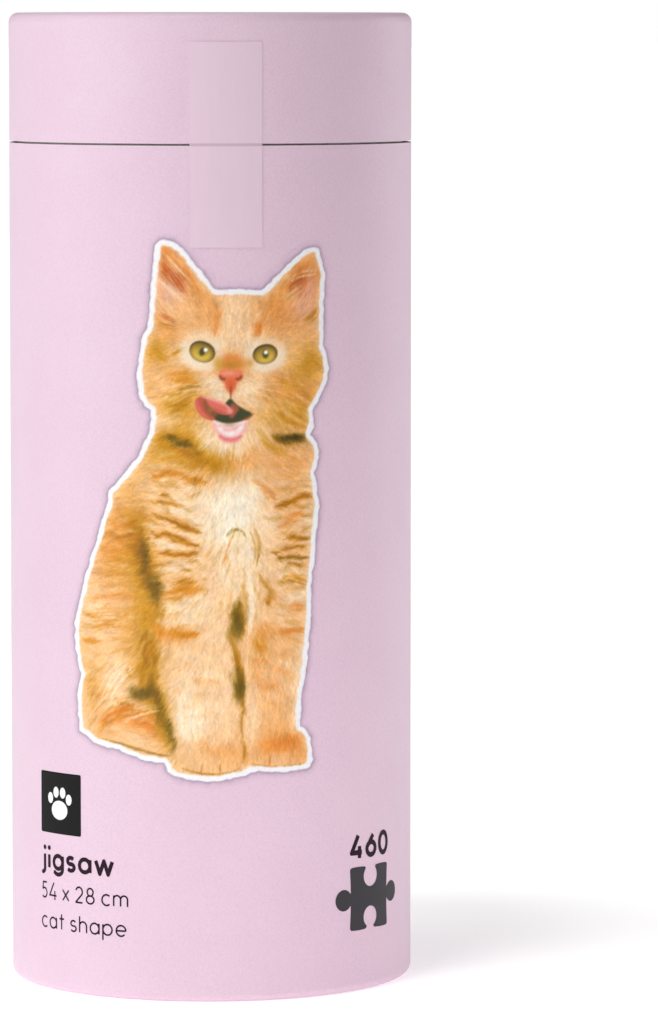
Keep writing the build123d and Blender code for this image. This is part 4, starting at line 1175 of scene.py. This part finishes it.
# ---------------------------------------------------------------- the clear bag
AROUND = 144
ANGLES = [2 * pi * k / AROUND for k in range(AROUND)]
FIN_HALF_WIDTH = 0.028
FIN_HALF_THICK = 0.00012
FIN_HEIGHT = 0.0116
ROOF_RISE = 0.0016


def film():
    """Thin clear plastic film with small creases."""
    stops = [(0.3, (238, 240, 242)), (0.7, CLEAN)]
    clear = {"IOR": 1.5, "Specular IOR Level": 0.9, "Alpha": 0.16}
    return surface("bag_film", (260, 5, 0.6), stops, (0.04, 0.16), 0.0006, clear)


def waves(chance, low, high, count=7):
    """Random directions, frequencies and phases for crumple waves."""
    angle = chance.uniform(0, 2 * pi, count)
    frequency = chance.uniform(low, high, count)
    phase = chance.uniform(0, 2 * pi, count)
    return np.column_stack([frequency * np.cos(angle), frequency * np.sin(angle), phase])


def crumple(x, y, table):
    """Creased height in -1..1: folded sine waves added together."""
    folds = [1 - 2 * abs(sin(fx * x + fy * y + phase)) for fx, fy, phase in table]
    shares = [0.8 ** k for k in range(len(table))]
    return sum(fold * share for fold, share in zip(folds, shares)) / sum(shares)


def bag_rings():
    """Rings of points up the bag: flat floor, creased wall, slack roof and flat heat-sealed fin."""
    low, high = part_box("puzzle_bag")
    side, bottom, top = high[0], low[2], high[2]
    shoulder = top - FIN_HEIGHT - ROOF_RISE
    chance = np.random.default_rng(SEED)
    side_waves, roof_waves = waves(chance, 3, 16), waves(chance, 120, 520)

    def floor_point(a, t):
        return side * t * cos(a), side * t * sin(a), bottom

    def wall_point(a, t):
        z = bottom + 0.0006 + (shoulder - bottom - 0.0016) * t
        push = 0.0003 + 0.0003 * crumple(a, z * 60, side_waves) * min(1, 8 * t) if t else -0.0006
        reach = side + push * min(1, 12 * min(a, 2 * pi - a))
        return reach * cos(a), reach * sin(a), z

    def roof_point(a, t):
        x = (side + (FIN_HALF_WIDTH - side) * t) * cos(a)
        y = (side + (FIN_HALF_THICK - side) * t ** 0.9) * sin(a)
        slack = 0.0009 * crumple(x, y, roof_waves) * sin(pi * min(1, t * 1.02))
        return x, y, shoulder + ROOF_RISE * t ** 2 + abs(slack)

    def fin_point(a, t):
        x = FIN_HALF_WIDTH * cos(a)
        lean = 0.0022 * t * sin(x * 70 + 0.6) + 0.0006 * t * sin(x * 230)
        return x, FIN_HALF_THICK * sin(a) + lean, top - FIN_HEIGHT * (1 - t)

    steps = [(floor_point, t) for t in (0.0, 0.5, 0.9)]
    for point, first, count in ((wall_point, 0, 46), (roof_point, 1, 16), (fin_point, 1, 14)):
        steps += [(point, k / count) for k in range(first, count + 1)]
    return [[point(a, t) for a in ANGLES] for point, t in steps]


def puzzle_bag():
    """Clear bag round the heap."""
    rings = bag_rings()
    faces = []
    for r in range(len(rings) - 1):
        for k in range(AROUND):
            a, b = r * AROUND + k, r * AROUND + (k + 1) % AROUND
            faces.append((a, b, b + AROUND, a + AROUND))
    mesh = bpy.data.meshes.new("clear_bag")
    mesh.from_pydata([p for ring in rings for p in ring], [], faces)
    shell = bmesh.new()
    shell.from_mesh(mesh)
    bmesh.ops.remove_doubles(shell, verts=shell.verts, dist=1e-6)
    bmesh.ops.recalc_face_normals(shell, faces=shell.faces)
    for face in shell.faces:
        face.smooth = True
    shell.to_mesh(mesh)
    shell.free()
    mesh.materials.append(film())
    made = add("clear_bag", mesh)
    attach(made, "contents")
    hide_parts("puzzle_bag")


puzzle_bag()


# ---------------------------------------------------------------- the puzzle pieces
FRONT, BACK, EDGE = 0, 1, 2


def puzzle_print():
    """Printed side: broad patches of the kitten's fur colours under fine hairs."""
    mat, tree, shader = material("puzzle_print")
    broad = noise(tree, 26, 2)
    hairs = noise(tree, 700, 5, 0.7, (1, 0.3, 1))
    stops = [(0.3, (190, 132, 60)), (0.42, (226, 158, 88)), (0.55, (242, 196, 146)), (0.7, (246, 232, 212))]
    tooth = ramp(tree, hairs, [(0.3, (190, 170, 150)), (0.6, CLEAN)])
    dress(tree, shader, mix(tree, 0.8, ramp(tree, broad, stops), tooth, "MULTIPLY"), hairs, (0.25, 0.4))
    return mat


def puzzle_back():
    """Blue-grey backing paper."""
    stops = [(0.3, (150, 152, 160)), (0.7, (178, 180, 188))]
    return surface("puzzle_back", (1100, 5, 0.7), stops, (0.75, 0.92), 0.00003)


def read(items, name, kind=float, width=1):
    """One property of all the items of a mesh."""
    values = np.empty(len(items) * width, kind)
    items.foreach_get(name, values)
    return values


def pieces_of(mesh):
    """Number of the separate solid that each face belongs to."""
    corners = read(mesh.loops, "vertex_index", int)
    start = read(mesh.polygons, "loop_start", int)
    owner = np.repeat(np.arange(len(start)), read(mesh.polygons, "loop_total", int))
    label = np.arange(len(mesh.vertices))
    while True:
        lowest = np.full(len(start), len(label))
        np.minimum.at(lowest, owner, label[corners])
        fresh = label.copy()
        np.minimum.at(fresh, corners, lowest[owner])
        fresh = fresh[fresh]
        if np.array_equal(fresh, label):
            return label[corners[start]]
        label = fresh


def dress_pieces():
    """Gives every puzzle piece a printed side, a backing side and cut board edges; half lie face down."""
    front, back = puzzle_print(), puzzle_back()
    chance = np.random.default_rng(SEED)
    for name in sorted(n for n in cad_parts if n.startswith("puzzle_row_")):
        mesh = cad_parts[name].data
        paint_node(name, front, back, board)
        normal = read(mesh.polygons, "normal", width=3).reshape(-1, 3)
        area = read(mesh.polygons, "area")
        solid = pieces_of(mesh)
        index = np.full(len(area), EDGE, np.int32)
        for one in np.unique(solid):
            own = np.nonzero(solid == one)[0]
            tensor = (normal[own, :, None] * normal[own, None, :] * area[own, None, None]).sum(axis=0)
            axis = np.linalg.eigh(tensor)[1][:, -1]
            axis = axis * (1 if axis[2] > 0 else -1) * (1 if chance.random() < 0.5 else -1)
            facing = normal[own] @ axis
            index[own[facing > 0.9]] = FRONT
            index[own[facing < -0.9]] = BACK
        mesh.polygons.foreach_set("material_index", index)


dress_pieces()


# ---------------------------------------------------------------- stage, light and camera
def sun(name, azimuth, elevation, strength, spread, colour=(1, 1, 1)):
    """Soft far light; azimuth is degrees from the front (-Y), positive to the right."""
    data = bpy.data.lights.new(name, "SUN")
    data.energy = strength * pi
    data.angle = radians(spread)
    data.color = colour
    a, e = radians(azimuth), radians(elevation)
    towards = Vector((sin(a) * cos(e), -cos(a) * cos(e), sin(e)))
    made = add(name, data)
    made.location = towards * 2
    made.rotation_euler = towards.to_track_quat("Z", "Y").to_euler()


def card(name, place, aim, size, power):
    """Small bounce card near the floor, unseen by the camera."""
    data = bpy.data.lights.new(name, "AREA")
    data.size = size
    data.energy = power
    made = add(name, data)
    made.location = place
    made.rotation_euler = (Vector(place) - Vector(aim)).to_track_quat("Z", "Y").to_euler()
    made.visible_camera = False
    made.visible_glossy = False


def floor():
    """Wide pale floor."""
    radius, around = 60.0, 96
    turns = [2 * pi * k / around for k in range(around)]
    mesh = bpy.data.meshes.new("floor")
    mesh.from_pydata(
        [(0.0, 0.0, 0.0)] + [(radius * cos(t), radius * sin(t), 0.0) for t in turns],
        [],
        [(0, 1 + k, 1 + (k + 1) % around) for k in range(around)],
    )
    mat, tree, shader = material("floor_white")
    tooth = ramp(tree, noise(tree, 40, 3), [(0.3, (250, 250, 250)), (0.7, (252, 252, 252))])
    link(tree, tooth, shader.inputs["Base Color"])
    put(shader, {"Roughness": 0.9, "Specular IOR Level": 0.1})
    put(shader, {"Emission Color": (1, 1, 1, 1), "Emission Strength": 0.41})
    mesh.materials.append(mat)
    made = add("floor", mesh)


def studio():
    """White backdrop for the camera over a dim pinkish room, and the lights."""
    world = bpy.data.worlds.new("studio")
    world.use_nodes = True
    tree = world.node_tree
    room = tree.nodes["Background"]
    backdrop = node(tree, "ShaderNodeBackground")
    put(room, {"Color": (1, 0.96, 0.99, 1), "Strength": 0.08})
    put(backdrop, {"Color": (1, 1, 1, 1)})
    path = node(tree, "ShaderNodeLightPath")
    either = node(tree, "ShaderNodeMixShader")
    for k, source in enumerate((path.outputs["Is Camera Ray"], room.outputs[0], backdrop.outputs[0])):
        link(tree, source, either.inputs[k])
    link(tree, either.outputs[0], tree.nodes["World Output"].inputs["Surface"])
    bpy.context.scene.world = world
    sun("key", -34, 65, 0.28, 16)
    sun("left_fill", -66, 8, 0.65, 62, (0.945, 1, 0.98))
    sun("top_fill", -72, 74, 0.27, 90)
    sun("right_rim", 126, 10, 0.24, 36, (1, 0.95, 0.98))
    card("low_card", (0.10, -0.14, 0.02), (0.03, -0.03, 0.02), 0.10, 0.06)
    bpy.context.scene.view_settings.view_transform = "Standard"


def camera():
    """Long lens a little above the top, looking slightly down."""
    data = bpy.data.cameras.new("camera")
    data.lens = 204.6
    data.sensor_width = 36.0
    seat = add("camera", data)
    seat.location = (0.0, -1.228, 0.2007)
    seat.rotation_euler = (radians(90 - 4.75), 0.0, radians(-1.17))
    bpy.context.scene.camera = seat


floor()
studio()
camera()
